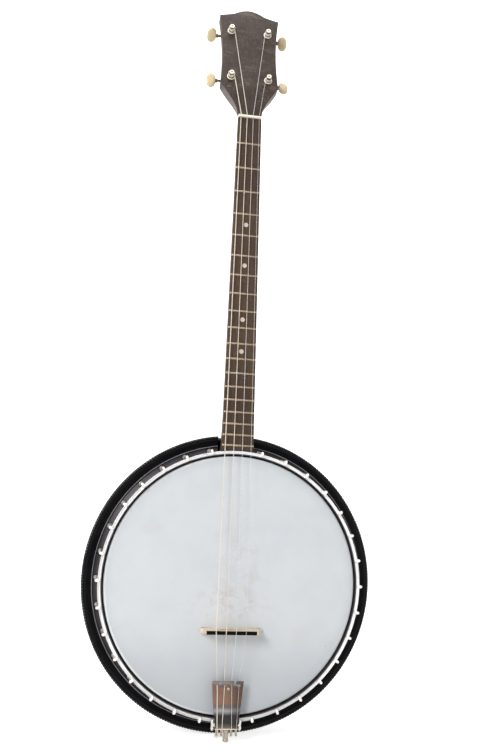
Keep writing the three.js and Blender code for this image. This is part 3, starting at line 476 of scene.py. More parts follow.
def softened(form, bevel, chosen):
    # The edges round the chosen faces are bevelled
    pick(form)
    bpy.ops.object.mode_set(mode="EDIT")
    bpy.ops.mesh.select_mode(type="FACE")
    bpy.ops.mesh.select_all(action="DESELECT")
    mesh = bmesh.from_edit_mesh(form.data)
    for face in mesh.faces:
        face.select_set(chosen(face))
    mesh.select_flush_mode()
    bpy.ops.mesh.bevel(offset=bevel, segments=3, affect="EDGES")
    bpy.ops.mesh.select_mode(type="VERT")
    bpy.ops.object.mode_set(mode="OBJECT")
    return form


class Shape:
    # Forms that make one piece, each with its own finish
    def __init__(self):
        self.forms = []

    def add(self, form, look=0, move=None):
        if move:
            settle(form, move)
        self.forms.append((form, look))
        return self


def joined(shape, looks=()):
    for form, look in shape.forms:
        closeSeams(form, True)
        form.data.materials.clear()
        if looks:
            form.data.materials.append(looks[look].material)
    bpy.ops.object.select_all(action="DESELECT")
    for form, look in shape.forms:
        form.select_set(True)
    made = shape.forms[0][0]
    bpy.context.view_layer.objects.active = made
    if len(shape.forms) > 1:
        bpy.ops.object.join()
    return made


def closeSeams(made, merge=False):
    # Doubles are merged before the faces are turned outwards
    pick(made)
    bpy.ops.object.mode_set(mode="EDIT")
    bpy.ops.mesh.select_all(action="SELECT")
    if merge:
        bpy.ops.mesh.remove_doubles(threshold=0.0001)
        bpy.ops.mesh.dissolve_degenerate(threshold=0.0001)
        bpy.ops.mesh.select_all(action="SELECT")
    bpy.ops.mesh.normals_make_consistent(inside=False)
    bpy.ops.object.mode_set(mode="OBJECT")


def span(form):
    corners = [corner.co for corner in form.data.vertices]
    return [(min(co[i] for co in corners), max(co[i] for co in corners)) for i in range(3)]


def carve(form, cutters):
    # Each cutter that reaches the form is taken out of it
    for cutter in cutters:
        if any(a[1] < b[0] or b[1] < a[0] for a, b in zip(span(form), span(cutter))):
            continue
        change = form.modifiers.new("cut", "BOOLEAN")
        change.operation = "DIFFERENCE"
        change.solver = "EXACT"
        change.object = cutter
        pick(form)
        bpy.ops.object.modifier_apply(modifier="cut")


def copied(form):
    twin = bpy.data.objects.new(form.name, form.data.copy())
    bpy.context.collection.objects.link(twin)
    return twin


finished = {}


def finish(made, name, place, nodes, body, angle):
    closeSeams(made)
    bpy.ops.object.shade_smooth_by_angle(angle=radians(angle))
    made.name = made.data.name = name
    finished[name] = (made, place)
    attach(made, body)
    if nodes:
        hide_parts(*nodes)


def build(name, shape, place, looks, nodes=(), body="instrument", angle=35, tools=()):
    cutters = [joined(tool) for tool in tools]
    for form, _ in shape.forms:
        closeSeams(form, True)
        carve(form, cutters)
    for cutter in cutters:
        bpy.data.objects.remove(cutter)
    made = settle(joined(shape, looks), place)
    finish(made, name, place, nodes, body, angle)


def again(first, name, place, nodes, body="instrument", angle=35):
    # A copy of a finished piece, with its own mesh
    model, modelPlace = finished[first]
    made = settle(copied(model), place @ modelPlace.inverted())
    finish(made, name, place, nodes, body, angle)


# These turn a form made along the depth so that it lies along X or Z, or mirror it.
alongX = Matrix(((0, 1, 0, 0), (0, 0, 1, 0), (1, 0, 0, 0), (0, 0, 0, 1)))
alongZ = Matrix(((1, 0, 0, 0), (0, 0, 1, 0), (0, 1, 0, 0), (0, 0, 0, 1)))
mirrorX = Matrix.Scale(-1, 4, (1, 0, 0))


# The resonator's sizes; its finish needs the count of its notches.
bowl = {
    "radius": 165.0, "widest": 26.9, "back": 84.0, "backRadius": 112.0, "wall": 3.5, "lip": 22.7,
    "channel": 2.0, "bead": 4.6,
    "beadRise": 3.6, "ledge": 1.4, "ledgeHeight": 3.8, "recess": 14.0, "recessDepth": 3.6, "boss": 20.0,
    "flutes": 312, "fluteDepth": 0.5,
}


# Finishes
def neckFinish():
    look = Surface("neck_finish", specular=0.2, shade=0.78)
    grain = look.noise(2.2, 6, 0.6, (1, 1, 14), warp=0.4)
    cloud = look.noise(17, 4, 0.6, (1.6, 1, 0.8))
    patch = look.noise(6, 4, 0.65, (1.5, 1, 0.7), warp=0.5)
    speck = look.noise(1.4, 3, 0.7)
    mixed = grain * 0.35 + cloud * 0.35 + patch * 0.3
    base = look.ramp(
        mixed, [(0.36, (0.032, 0.02, 0.014)), (0.5, (0.064, 0.042, 0.031)), (0.64, (0.122, 0.085, 0.065))],
    )
    wear = (cloud * 0.5 + patch * 0.3 + speck * 0.2).step(0.53, 0.64)
    tone = look.mix(base, (0.175, 0.143, 0.125), wear * 0.45)
    scratches = look.noise(3.0, 2, 0.5, (9, 9, 0.35), warp=1.2).step(0.66, 0.7) * look.noise(30, 1).step(
        0.55, 0.65,
    )
    scratches = scratches + look.stroke((-29.4, 596.4), (-22.2, 598.6), 0.6)
    scratches = scratches + look.stroke((-26.6, 602.6), (-20.8, 601.0), 0.5) * 0.7
    tone = look.mix(tone, (0.44, 0.37, 0.33), scratches.clamped() * 0.6)
    # painted reflection: the side faces of the peghead's flares are made paler
    flare = abs(look.normal(0)).step(0.3, 0.65) * look.axis(2).step(556, 566) * look.axis(2).step(604, 590)
    tone = look.mix(tone, (0.34, 0.3, 0.29), flare * 0.75)
    look.colour(tone)
    look.roughness(0.42 + speck * 0.22 - grain * 0.08)
    look.bump(grain, 0.05).bump(speck, 0.03)
    return look


def boardFinish():
    look = Surface("rosewood_board", specular=0.2, shade=0.66)
    grain = look.noise(1.1, 7, 0.65, (1, 1, 22), warp=0.25)
    pores = look.noise(0.45, 3, 0.6, (1, 1, 16)).step(0.56, 0.66)
    cloud = look.noise(34, 3, 0.55, (1, 1, 2.2))
    tone = look.ramp(
        grain * 0.6 + cloud * 0.4,
        [(0.28, (0.046, 0.027, 0.017)), (0.5, (0.108, 0.068, 0.045)), (0.74, (0.195, 0.13, 0.09))],
    )
    handled = look.axis(2).step(190, 290) * look.axis(2).step(470, 400)
    tone = look.mix(tone, (0.26, 0.17, 0.11), handled * 0.2)
    tone = look.mix(tone, (0.03, 0.02, 0.016), pores * 0.7)
    look.colour(tone)
    look.roughness(0.5 + pores * 0.2 - grain * 0.1)
    look.bump(pores * -1.0, 0.06).bump(grain, 0.04)
    return look


def metalFinish(name, colour, roughness, tarnish, dark=(0.25, 0.2, 0.15), scale=1.0, metallic=1.0, shade=0.85):
    look = Surface(name, metallic=metallic, shade=shade)
    cloud = look.noise(9 * scale, 4, 0.6)
    speck = look.noise(0.8 * scale, 3, 0.7)
    stain = (cloud * 0.7 + speck * 0.3).step(0.5, 0.72)
    look.colour(look.mix(colour, dark, stain * tarnish))
    look.roughness(roughness + stain * 0.2 + speck * 0.06)
    look.bump(speck, 0.004)
    return look


def hoopFinish():
    # Dull plate, with painted shade in the inner corner of the groove, and darker towards the bottom
    look = Surface("nickel_hoop", metallic=0.3, shade=1.0)
    cloud = look.noise(14, 4, 0.6)
    speck = look.noise(0.8, 3, 0.7)
    around = look.distance(0, 0)
    # painted shade: the inner corner of the groove is made near black
    corner = around.step(143.3, 142.7)
    tone = look.mix((1.0, 0.99, 1.0), (0.7, 0.68, 0.66), cloud.step(0.5, 0.75) * 0.4)
    tone = look.mix(tone, (0.5, 0.48, 0.47), look.axis(2).step(-70, -135) * 0.55)
    look.colour(look.mix(tone, (0.02, 0.018, 0.018), corner * 0.94))
    look.roughness(0.3 + cloud * 0.1 + speck * 0.06)
    look.bump(speck, 0.004)
    return look


def trayFinish():
    # The bent sheet's plate with its wear, with a painted reflection in bands along it, brown towards its front
    # and darker towards its fold, and painted shade on its right side
    look = Surface("tray_plate", metallic=0.75, shade=0.95)
    cloud = look.noise(7, 4, 0.6, (1, 1, 2))
    speck = look.noise(0.7, 3, 0.7)
    # painted reflection: bands of brown, grey and near black along the tray's length
    along = (look.axis(2) * -1.0 + cloud * 3.0 - 101.5) / 54.0
    tone = look.ramp(along, [
        (0.0, (0.075, 0.05, 0.043)), (0.07, (0.26, 0.2, 0.17)), (0.12, (0.16, 0.092, 0.064)),
        (0.45, (0.215, 0.118, 0.08)),
        (0.53, (0.12, 0.1, 0.095)), (0.6, (0.3, 0.3, 0.3)), (0.65, (0.14, 0.135, 0.135)),
        (0.69, (0.026, 0.023, 0.024)),
        (0.84, (0.03, 0.028, 0.026)), (0.92, (0.12, 0.1, 0.078)), (1.0, (0.5, 0.44, 0.36)),
    ])
    # painted shade: the right side of the tray is darker
    side = look.axis(0).step(-2, 12)
    tone = look.mix(tone, look.mix(tone, (0.03, 0.02, 0.016), 0.62), side)
    look.colour(look.mix(tone, (0.32, 0.29, 0.26), speck.step(0.62, 0.72) * 0.25))
    look.roughness(0.26 + cloud * 0.1 + speck * 0.06)
    look.bump(speck, 0.004)
    return look


def headFinish():
    look = Surface("head_film", coat=0.15, coatRoughness=0.35, shade=1.0)
    fine = look.noise(0.7, 3, 0.7)
    cloud = look.noise(38, 4, 0.55)
    tone = look.ramp(
        cloud, [(0.3, (0.683, 0.719, 0.75)), (0.5, (0.714, 0.746, 0.773)), (0.7, (0.741, 0.764, 0.782))],
    )
    blotch = look.noise(13, 5, 0.62, warp=0.6)
    strum = look.distance(8, 12, 34, 62).step(1.25, 0.2) * blotch.step(0.42, 0.66)
    tone = look.mix(tone, (0.633, 0.56, 0.542), strum * 0.42)
    under = look.distance(-2, -22, 52, 22).step(1.1, 0.3) * look.noise(6, 4, 0.6).step(0.45, 0.68)
    tone = look.mix(tone, (0.524, 0.452, 0.416), under * 0.4)
    thumb = (look.distance(-92, 58, 16, 12).step(1, 0.2) + look.distance(78, -56, 12, 16).step(1, 0.2)) * blotch
    tone = look.mix(tone, (0.651, 0.57, 0.551), thumb.clamped() * 0.35)
    edge = look.distance(0, 0)
    tone = look.mix(tone, (0.597, 0.633, 0.66), edge.step(126, 138) * 0.3)
    # painted shade: the film is darker towards the bottom
    tone = look.mix(tone, (0.452, 0.479, 0.506), look.axis(2).step(-30, -125) * 0.6)
    lit = edge.step(137.2, 138.6) * look.axis(0).step(40, -60)
    tone = look.mix(tone, (0.97, 0.98, 0.99), lit * 0.95)
    # painted shade: the film's side wall in the gap under the hoop is near black
    tone = look.mix(tone, (0.012, 0.012, 0.014), edge.step(139.6, 140.2))
    spot = look.cells(26, shift=(3, 0, 7)).step(0.022, 0.012)
    tone = look.mix(tone, (0.12, 0.1, 0.09), spot * 0.7)
    look.colour(tone)
    look.roughness(0.5 + fine * 0.12)
    look.bump(fine, 0.02).bump(cloud, 0.15)
    return look


def rimFinish():
    # Dark moulded plastic, with a painted reflection paler by the hoop, painted shade round each hook hole, and
    # a painted highlight along the flange's lip
    look = Surface("rim_moulding", specular=0.22)
    cloud = look.noise(24, 4, 0.6)
    dust = look.noise(2.4, 3, 0.6)
    around = look.distance(0, 0)
    tone = look.mix((0.008, 0.006, 0.008), (0.02, 0.014, 0.018), cloud.step(0.35, 0.68))
    # painted reflection: the flange is paler by the hoop
    tone = look.mix(tone, (0.11, 0.095, 0.115), around.step(150.2, 146.2) * (cloud * 0.7 + 0.25))
    # painted shade: a dark spot round each hook hole
    spin = look.axis(2).run("ARCTAN2", look.axis(0))
    painted_hole_shade = (spin * 32 + pi / 2).wave().step(0.3, 0.8) * around.step(144.5, 146.0) * around.step(152.2, 151.0)
    tone = look.mix(tone, (0.006, 0.004, 0.004), painted_hole_shade * 0.92)
    # painted highlight: a pale line along the flange's lip
    wear_and_sheen = around.step(152.3, 152.5) * (0.6 + cloud * 0.7)
    look.colour(look.mix(tone, (0.27, 0.27, 0.29), wear_and_sheen.clamped()))
    look.roughness(0.34 + dust.step(0.5, 0.75) * 0.08 + cloud * 0.06)
    look.bump(cloud, 0.1)
    return look


def resonatorFinish():
    # Black moulded plastic, with dust and a painted highlight in the notches of the outer bead
    look = Surface("resonator_moulding", specular=0.04, coatRoughness=0.26)
    cloud = look.noise(22, 4, 0.6)
    dust = look.noise(1.6, 4, 0.75)
    around = look.distance(0, 0)
    spin = look.axis(2).run("ARCTAN2", look.axis(0))
    # dust and a painted highlight: a paler tone in the notches of the bead
    notches = (spin * bowl["flutes"]).wave().step(-0.1, -0.7) * around.step(162.2, 163.6)
    notches = notches * look.noise(17, 3, 0.6).step(0.38, 0.62) * look.axis(1).step(29.5, 27.5)
    tone = look.mix((0.0015, 0.0013, 0.002), (0.006, 0.0055, 0.007), (cloud * 0.6 + dust * 0.4).step(0.4, 0.7))
    look.colour(look.mix(tone, (0.3, 0.3, 0.31), notches * 0.85))
    look.feed("Coat Weight", around.step(158.5, 161.5) * 0.3)
    look.roughness(0.26 + dust.step(0.45, 0.7) * 0.12 + cloud * 0.06)
    look.bump(cloud, 0.12)
    return look


def mapleFinish():
    look = Surface("maple", coat=0.1, coatRoughness=0.3, shade=0.86)
    grain = look.noise(0.9, 6, 0.6, (16, 1, 1), warp=0.3)
    fleck = look.noise(0.5, 3, 0.6, (5, 1, 1)).step(0.6, 0.7)
    pale, deep = (0.95, 0.86, 0.71), (0.8, 0.64, 0.44)
    tone = look.ramp(grain, [(0.3, deep), (0.6, pale)])
    # painted shade: faces turned away from the front are darker than the crest
    tone = look.mix(tone, (0.42, 0.27, 0.15), look.normal(1).step(-0.8, -0.25) * 0.35)
    look.colour(look.mix(tone, deep, fleck * 0.6))
    look.roughness(0.45 + grain * 0.15)
    look.bump(grain, 0.04)
    return look


def paleWoodFinish():
    look = Surface("stick_wood")
    rings = look.noise(2.4, 5, 0.6, (1, 1, 18), warp=0.5)
    tone = look.ramp(rings, [(0.3, (0.36, 0.22, 0.12)), (0.6, (0.6, 0.42, 0.25))])
    look.colour(tone)
    look.roughness(0.55 + rings * 0.15)
    look.bump(rings, 0.08)
    return look


def ebonyFinish():
    look = Surface("saddle_black", specular=0.04)
    grain = look.noise(0.6, 5, 0.6, (14, 1, 1))
    look.colour(look.ramp(grain, [(0.3, (0.003, 0.002, 0.002)), (0.7, (0.014, 0.01, 0.008))]))
    look.roughness(0.35 + grain * 0.15)
    look.bump(grain, 0.03)
    return look


def creamFinish(name, pale, deep, size, shade=0.9):
    look = Surface(name, coat=0.35, coatRoughness=0.15, specular=0.45, shade=shade)
    swirl = look.noise(size, 5, 0.6, warp=1.4)
    haze = look.noise(size * 0.3, 3, 0.6)
    tone = look.ramp(swirl, [(0.28, deep), (0.5, pale), (0.75, tuple(min(1, c * 1.12) for c in pale))])
    look.colour(look.mix(tone, deep, haze.step(0.62, 0.75) * 0.3))
    look.roughness(0.3 + haze * 0.15)
    look.bump(haze, 0.03)
    return look


def stringFinish(name, colour, pitch, metallic):
    look = Surface(name, metallic=metallic, shade=0.95)
    wound = (look.axis(1, look.along()) * (2 * pi / pitch)).wave()
    haze = look.noise(4, 3, 0.6)
    look.colour(look.mix(colour, tuple(c * 0.55 for c in colour), (haze * 0.5 + wound * -0.18 + 0.1).clamped()))
    look.roughness(0.36 + haze * 0.15)
    look.bump(wound, 0.03 if pitch < 1 else 0.003)
    return look


finishes = {
    "neck": neckFinish(),
    "board": boardFinish(),
    "fret": metalFinish("fret_brass", (0.4, 0.31, 0.22), 0.24, 0.7, (0.12, 0.09, 0.065), 0.5),
    "dot": creamFinish("inlay_dot", (0.78, 0.71, 0.58), (0.6, 0.52, 0.38), 1.4),
    "bone": creamFinish("nut_bone", (1.0, 0.92, 0.76), (0.93, 0.8, 0.6), 3.0, 1.0),
    "button": creamFinish("button_cream", (1.0, 0.81, 0.48), (0.85, 0.61, 0.33), 6.0, 0.86),
    "nickel": metalFinish("nickel_plate", (0.83, 0.81, 0.78), 0.16, 0.35),
    "hook": metalFinish("nickel_hook", (0.98, 0.92, 0.88), 0.28, 0.5, (0.3, 0.22, 0.18), 0.25, 0.45, 1.0),
    "hoop": hoopFinish(),
    "tuner": metalFinish("nickel_tuner", (0.95, 0.86, 0.7), 0.24, 0.5, (0.3, 0.22, 0.13), 0.35, 0.8, 0.85),
    "washer": metalFinish("washer_plate", (1.0, 0.93, 0.78), 0.3, 0.25, (0.4, 0.3, 0.2), 0.3, 0.1, 1.0),
    # dark steel for the worm, and painted shade on the tuner sleeves and post sides
    "dark_steel_and_shade": metalFinish("dark_steel_and_painted_shade", (0.13, 0.105, 0.085), 0.35, 0.6, (0.04, 0.03, 0.024), 0.6),
    "gear": metalFinish("brass_gear", (0.7, 0.53, 0.27), 0.32, 0.6, (0.2, 0.13, 0.06), 0.4),
    "tray": trayFinish(),
    "wear_and_sheen": metalFinish("worn_nickel", (0.72, 0.68, 0.62), 0.22, 0.8, (0.12, 0.09, 0.07), 0.3),
    "thumb": metalFinish("worn_screw", (0.42, 0.37, 0.3), 0.28, 0.6, (0.1, 0.075, 0.05), 0.4),
    "fold": metalFinish("worn_fold", (0.8, 0.72, 0.62), 0.26, 0.75, (0.14, 0.1, 0.07), 0.3, 0.8),
    "head": headFinish(),
    "rim": rimFinish(),
    "resonator": resonatorFinish(),
    "maple": mapleFinish(),
    "saddle": ebonyFinish(),
    "stick": paleWoodFinish(),
    "bronze": stringFinish("bronze_wire", (0.98, 0.9, 0.77), 0.32, 0.3),
    "steel": stringFinish("steel_wire", (1.0, 0.99, 1.0), 5.0, 0.05),
}
print("finishes made", len(finishes))

# Rim with its flange
pot = {
    "rim": 139.7, "rimWall": 9, "rimBack": 56.0, "bearing": 3.7, "bearingDrop": 4, "bearingFlat": 2.2,
    "corner": 1.1,
    "flange": 153.3, "flangeRoot": 16.4, "flangeEdge": 22.4, "flangeBack": 25.2, "fillet": 3.3, "lip": 1.0,
    "lipRise": 0.8,
    "hole": 3.3, "hookPlace": 147.9, "hoopInner": 142.0, "hoopOuter": 146.1, "hoopHeight": 9.2, "groove": 1.3,
    "grooveWall": 0.5,
    "notchHalf": 19.8, "heelDepth": 52, "stickCentre": 40.0,
}
hookTurns = [2 * pi * i / 32 for i in range(32) if i not in (8, 24)]


def makeRim(p):
    inner = p["rim"] - p["rimWall"]
    lip = p["flange"] - p["lip"]
    profile = rounded([
        (inner, p["bearing"] + p["bearingDrop"]),
        (p["rim"] - p["corner"] - p["bearingFlat"], p["bearing"]),
        (p["rim"] - p["corner"], p["bearing"]),
        (p["rim"], p["bearing"] + p["corner"]),
        (p["rim"], p["flangeRoot"]),
        (p["rim"] + p["fillet"], p["flangeRoot"] + 1.1),
        (lip - p["lipRise"], p["flangeEdge"]),
        (lip, p["flangeEdge"] - p["lipRise"]),
        (p["flange"], p["flangeEdge"] - p["lipRise"]),
        (p["flange"], p["flangeBack"]),
        (p["rim"], p["flangeBack"]),
        (p["rim"], p["rimBack"]),
        (inner, p["rimBack"]),
    ], [1.5, 1, 0.4, 0.4, 2.2, 2.2, 0.5, 0.35, 0.35, 0.4, 0.6, 0.8, 0.8], 3)
    profile = [(point.x, point.y) for point in profile]
    holes = Shape()
    for turn in [*hookTurns, 3 * pi / 2]:
        place = Matrix.Translation((p["hookPlace"] * cos(turn), 0, p["hookPlace"] * sin(turn)))
        holes.add(pin(p["hole"], p["flangeRoot"] - 2, p["flangeBack"] + 3, sides=24), move=place)
    notch = Shape()
    outer = p["flange"] + 4
    ring = arc(
        0, 0, p["rim"], pi / 2 - asin(p["notchHalf"] / p["rim"]), pi / 2 + asin(p["notchHalf"] / p["rim"]), 24,
    )
    notch.add(
        prism([*ring, Vector((-p["notchHalf"], outer)), Vector((p["notchHalf"], outer))], -4, p["rimBack"] + 4)
    )
    stick = Shape().add(prism(disc(0, p["stickCentre"], 6.3, 32), inner - 4, p["rim"] + 4), move=alongZ)
    build(
        "rim_and_flange", Shape().add(lathe(profile, 320)), potFrame, [finishes["rim"]], ["rim"],
        tools=[holes, notch, stick],
    )


makeRim(pot)
print("rim made")


def makeHead(p):
    back = 3.4
    profile = rounded([
        (0, 3.0), (60, 3.0), (120, 3.0), (140.4 - 1.2, 3.0), (140.4, 4.2), (140.4, 9.5), (144.6, 9.5),
        (144.6, 14.0),
        (140.0, 14.0), (140.0, back), (0, back),
    ], [0, 0, 0, 1.2, 1.2, 0.3, 0.8, 0.8, 0.5, 0.3, 0], 5)
    build(
        "drum_head_film", Shape().add(lathe([(q.x, q.y) for q in profile], 256)), potFrame, [finishes["head"]],
        ["drum_head"], angle=50,
    )


def makeHoop(p):
    inner, outer, wall = p["hoopInner"], p["hoopOuter"], p["grooveWall"]
    profile = rounded([
        (inner, 0), (inner + wall, 0), (inner + wall + 0.35, p["groove"]), (outer - wall - 0.35, p["groove"]),
        (outer - wall, 0), (outer, 0), (outer, p["hoopHeight"]), (inner, p["hoopHeight"]),
    ], [0.2, 0.2, 0.6, 0.6, 0.2, 0.2, 0.5, 0.5], 3)
    build(
        "tension_hoop_grooved", Shape().add(lathe([(q.x, q.y) for q in profile], 320)), potFrame,
        [finishes["hoop"]], ["tension_hoop"], angle=40,
    )


def makeHooks(p):
    radius = 1.3
    tip, place = (p["hoopInner"] + p["hoopOuter"]) / 2, p["hookPlace"]
    bend = (place - tip) / 2
    route = [(tip, p["groove"] - 0.25, 0), (tip, 0.3, 0)]
    for k in range(9):
        turn = pi * (1 - k / 8)
        route.append((tip + bend + bend * cos(turn), -0.1 - bend * sin(turn), 0))
    route += [(place, 4, 0), (place, 14, 0), (place, 32.3, 0)]
    nutFront = p["flangeBack"] + 0.3
    hexagon = [(place + 3.9 * cos(pi * k / 3), 3.9 * sin(pi * k / 3)) for k in range(6)]
    shape = Shape().add(tube(route, radius, 14, swell=lambda k: 1.2 - 0.2 * min(1, abs(k - 6) / 6)))
    shape.add(prism(hexagon, nutFront, nutFront + 7, 0.5))
    shape.add(pin(3.0, nutFront + 6.9, nutFront + 7.0, place, 0, 24))
    for i, turn in enumerate(hookTurns):
        spin = potFrame @ Matrix.Rotation(-turn, 4, "Y")
        name, node = f"hook_{i + 1:02d}", [f"bracket_hook_{i + 1:02d}"]
        if i == 0:
            build(name, shape, spin, [finishes["hook"]], node)
        else:
            again("hook_01", name, spin, node)


makeHead(pot)
makeHoop(pot)
makeHooks(pot)
print("head, hoop and hooks made")


def makeResonator(b, p):
    side, depth = b["radius"] - b["backRadius"], b["back"] - b["widest"]
    outer = [
        (b["backRadius"] + side * out, b["widest"] + depth * down)
        for out, down in [(0.93, 0.6), (0.72, 0.88), (0.5, 0.97)]
    ]
    inner = [(radius - b["wall"], place - b["wall"] / 2) for radius, place in reversed(outer)]
    hole, recess, front = 3.05, b["back"] - b["recessDepth"], p["flangeBack"] + 0.3
    floor = b["back"] - b["wall"]
    beadInner = b["radius"] - b["bead"]
    points = [
        (hole, recess - b["wall"]), (b["boss"], recess - b["wall"]), (b["boss"] + b["recessDepth"], floor),
        *inner,
        (b["radius"] - 2 * b["wall"], front + 2 * b["ledgeHeight"]),
        (p["flange"] - b["ledge"], front + b["ledgeHeight"]),
        (p["flange"] - b["ledge"], front), (p["flange"] + 0.3, front), (p["flange"] + 0.3, b["lip"]),
        (beadInner, b["lip"] + b["channel"]),
        (b["radius"] - b["bead"] / 2, b["widest"] - b["beadRise"] + 0.1), (b["radius"] - 0.3, b["widest"]),
        *outer,
        (b["backRadius"], b["back"]), (b["recess"] + 0.9, b["back"]), (b["recess"], recess), (hole, recess),
    ]
    reach = [0, 0.5, 2, 12, 8, 12, 4, 1, 0.5, 0.3, 0.4, 2.5, 1.5, 0.8, 14, 9, 12, 6, 0.8, 1, 0.3]
    profile = [(q.x, q.y) for q in rounded(points, reach[: len(points)], 5)]
    notch = Shape()
    end, lipDepth = p["heelDepth"] + 2.4, b["lip"]
    outline = [(-p["notchHalf"], -4), (p["notchHalf"], -4), (p["notchHalf"], lipDepth)]
    outline += [
        (p["notchHalf"] * cos(t), lipDepth + (end - lipDepth) * sin(t))
        for t in (pi * k / 28 for k in range(1, 28))
    ]
    outline += [(-p["notchHalf"], lipDepth)]
    rings = [[Vector((x, y, z)) for x, y in outline] for z in (p["rim"] + 1.1, b["radius"] + 5)]
    notch.add(skin(rings))
    build(
        "resonator_bowl", Shape().add(lathe(profile, 240)), potFrame, [finishes["resonator"]], ["resonator"],
        tools=[notch], angle=40,
    )

    low, high, out = b["widest"] - b["beadRise"], b["widest"] + 2.2, b["radius"]
    centre = out - b["bead"] / 2
    bead = [
        (centre - 2.0, b["widest"] - 0.4), (centre - 1.4, low + 0.9), (centre - 0.5, low + 0.25),
        (centre + 0.5, low + 0.3),
    ]
    bead += [
        (centre + 1.4, low + 0.9), (out - 0.28, low + 2.2), (out - 0.25, b["widest"] + 0.6), (out - 0.7, high),
        (out - 2.5, high),
    ]
    weight = [0, 0.2, 0.6, 0.9, 1, 1, 1, 0.4, 0]
    half = asin(p["notchHalf"] / out) + 0.004
    ring = lathe(
        bead, b["flutes"] * 6, pi / 2 + half, 5 * pi / 2 - half, lambda turn,
        k: -b["fluteDepth"] * weight[k] * (0.5 + 0.5 * cos(b["flutes"] * turn)),
    )
    build(
        "resonator_bead", Shape().add(ring), potFrame, [finishes["resonator"]], [],
        angle=60,
    )


makeResonator(bowl, pot)
print("resonator made")


def makeStick(p):
    inner = p["rim"] - p["rimWall"]
    half = sqrt(inner ** 2 - 121) - 0.3
    shape = Shape().add(block(22, 2 * half, 22, 0, 0, p["stickCentre"], 1.2), move=alongZ)
    shape.add(prism(disc(0, p["stickCentre"], 6, 32), half - 3, inner + 20, 0.8), move=alongZ)
    back = Shape().add(pin(3.05, 36, 60, sides=24))
    end = Shape().add(prism(disc(0, p["stickCentre"], 2.8, 20), -half - 4, 34 - p["rim"]), move=alongZ)
    build(
        "stick_across_pot", shape, potFrame, [finishes["stick"]], ["dowel_stick"],
        tools=[back, end],
    )
    head = -p["rim"] - 0.3
    dome = [(0, 0), (5.5, 0), (5.5, 1.0), (4.6, 2.4), (2.6, 3.2), (0, 3.4)]
    move = Matrix.Translation((0, p["stickCentre"], head)) @ Matrix.Scale(-1, 4, (0, 0, 1)) @ alongZ
    screw = Shape().add(lathe([(q.x, q.y) for q in rounded(dome, 0.4, 3, closed=False)], 32), move=move)
    screw.add(pin(2.5, -30, 0.2, sides=24), move=move)
    slot = Shape().add(block(12, 2.4, 1.2, 0, 3.4, 0), move=move)
    build("end_screw_domed", screw, potFrame, [finishes["nickel"]], ["end_screw"], tools=[slot])
    front = bowl["back"] - bowl["recessDepth"] + 0.3
    dome = rounded(
        [(0, front), (7.5, front), (7.5, front + 1.3), (5.4, front + 2.7), (0, front + 3)],
        [0, 0.3, 0.6, 1.4, 0], 4,
    )
    screw = Shape().add(lathe([(q.x, q.y) for q in dome], 48)).add(pin(2.75, 40, front + 0.4, sides=24))
    slot = Shape().add(block(1.4, 2.4, 18, 0, front + 3.2, 0))
    build(
        "resonator_screw_slotted", screw, potFrame, [finishes["nickel"]], ["resonator_screw"],
        tools=[slot],
    )


makeStick(pot)
print("stick and screws made")

# Neck, heel and peghead
neck = {
    "end": 36.4, "nut": 28.6, "top": 5.3, "heelEnd": 23.5, "nutDepth": 19.0, "heel": 62.0, "heelDepth": 52.0,
    "curve": 2.2,
}
head = {
    "join": 30.6, "lower": 72.8, "lowerPlace": 49.5, "waist": 68.6, "top": 76.8, "corner": 159.1, "arch": 39.0,
    "length": 171.5,
    "spread": 47.0, "posts": (58.5, 133.0), "bevel": 0.7, "carve": 4.5, "carved": 34.0,
}


def boardHalf(place):
    return (neck["end"] + (neck["nut"] - neck["end"]) * place / board["length"]) / 2


def neckBack(place):
    share = min(max(1 - place / neck["heel"], 0), 1)
    shaft = neck["heelEnd"] + (neck["nutDepth"] - neck["heelEnd"]) * max(place, 0) / board["length"]
    return shaft + (neck["heelDepth"] - neck["heelEnd"]) * share ** neck["curve"]


def neckRing(place, top, back, half, steps=28):
    ring = []
    for k in range(steps + 1):
        turn = pi * k / steps
        rise = sin(turn) ** 0.8 if 0 < k < steps else 0
        ring.append(Vector((half * cos(turn), top + (back - top) * rise, place)))
    return ring


def pegOutline(h, steps=14):
    start, lower, corner, arch = h["join"] / 2, h["lower"] / 2, h["top"] / 2, h["arch"] / 2
    waist = h["waist"] - (h["lower"] + h["top"]) / 4
    middle = (h["lowerPlace"] + h["corner"]) / 2
    rise = h["length"] - h["corner"]
    archPlace, hollow = h["corner"] + rise * 0.4, arch + (corner - arch) * 0.45
    flareOut = start + (lower - start) * 0.77
    flare = [
        (start, 0.9), (start, h["lowerPlace"] * 0.36), (flareOut, h["lowerPlace"] * 0.757),
        (lower, h["lowerPlace"]),
    ]
    right = cubic(*flare, 2 * steps)
    right += bent((lower, h["lowerPlace"]), (waist, middle), (corner, h["corner"] - 1.2), steps)
    right += bent((corner, h["corner"] - 1.2), (corner, h["corner"]), (corner - 1.2, h["corner"] + 0.2), 4)
    right += bent(
        (corner - 1.2, h["corner"] + 0.2), (hollow, h["corner"] + rise * 0.18), (arch, archPlace), steps,
    )
    right += bent((arch, archPlace), (arch * 0.46, h["length"]), (0, h["length"]), steps)
    right = [Vector(point) for point in right]
    left = [Vector((-point.x, point.y)) for point in reversed(right)]
    return right + [Vector((0, h["length"]))] + left


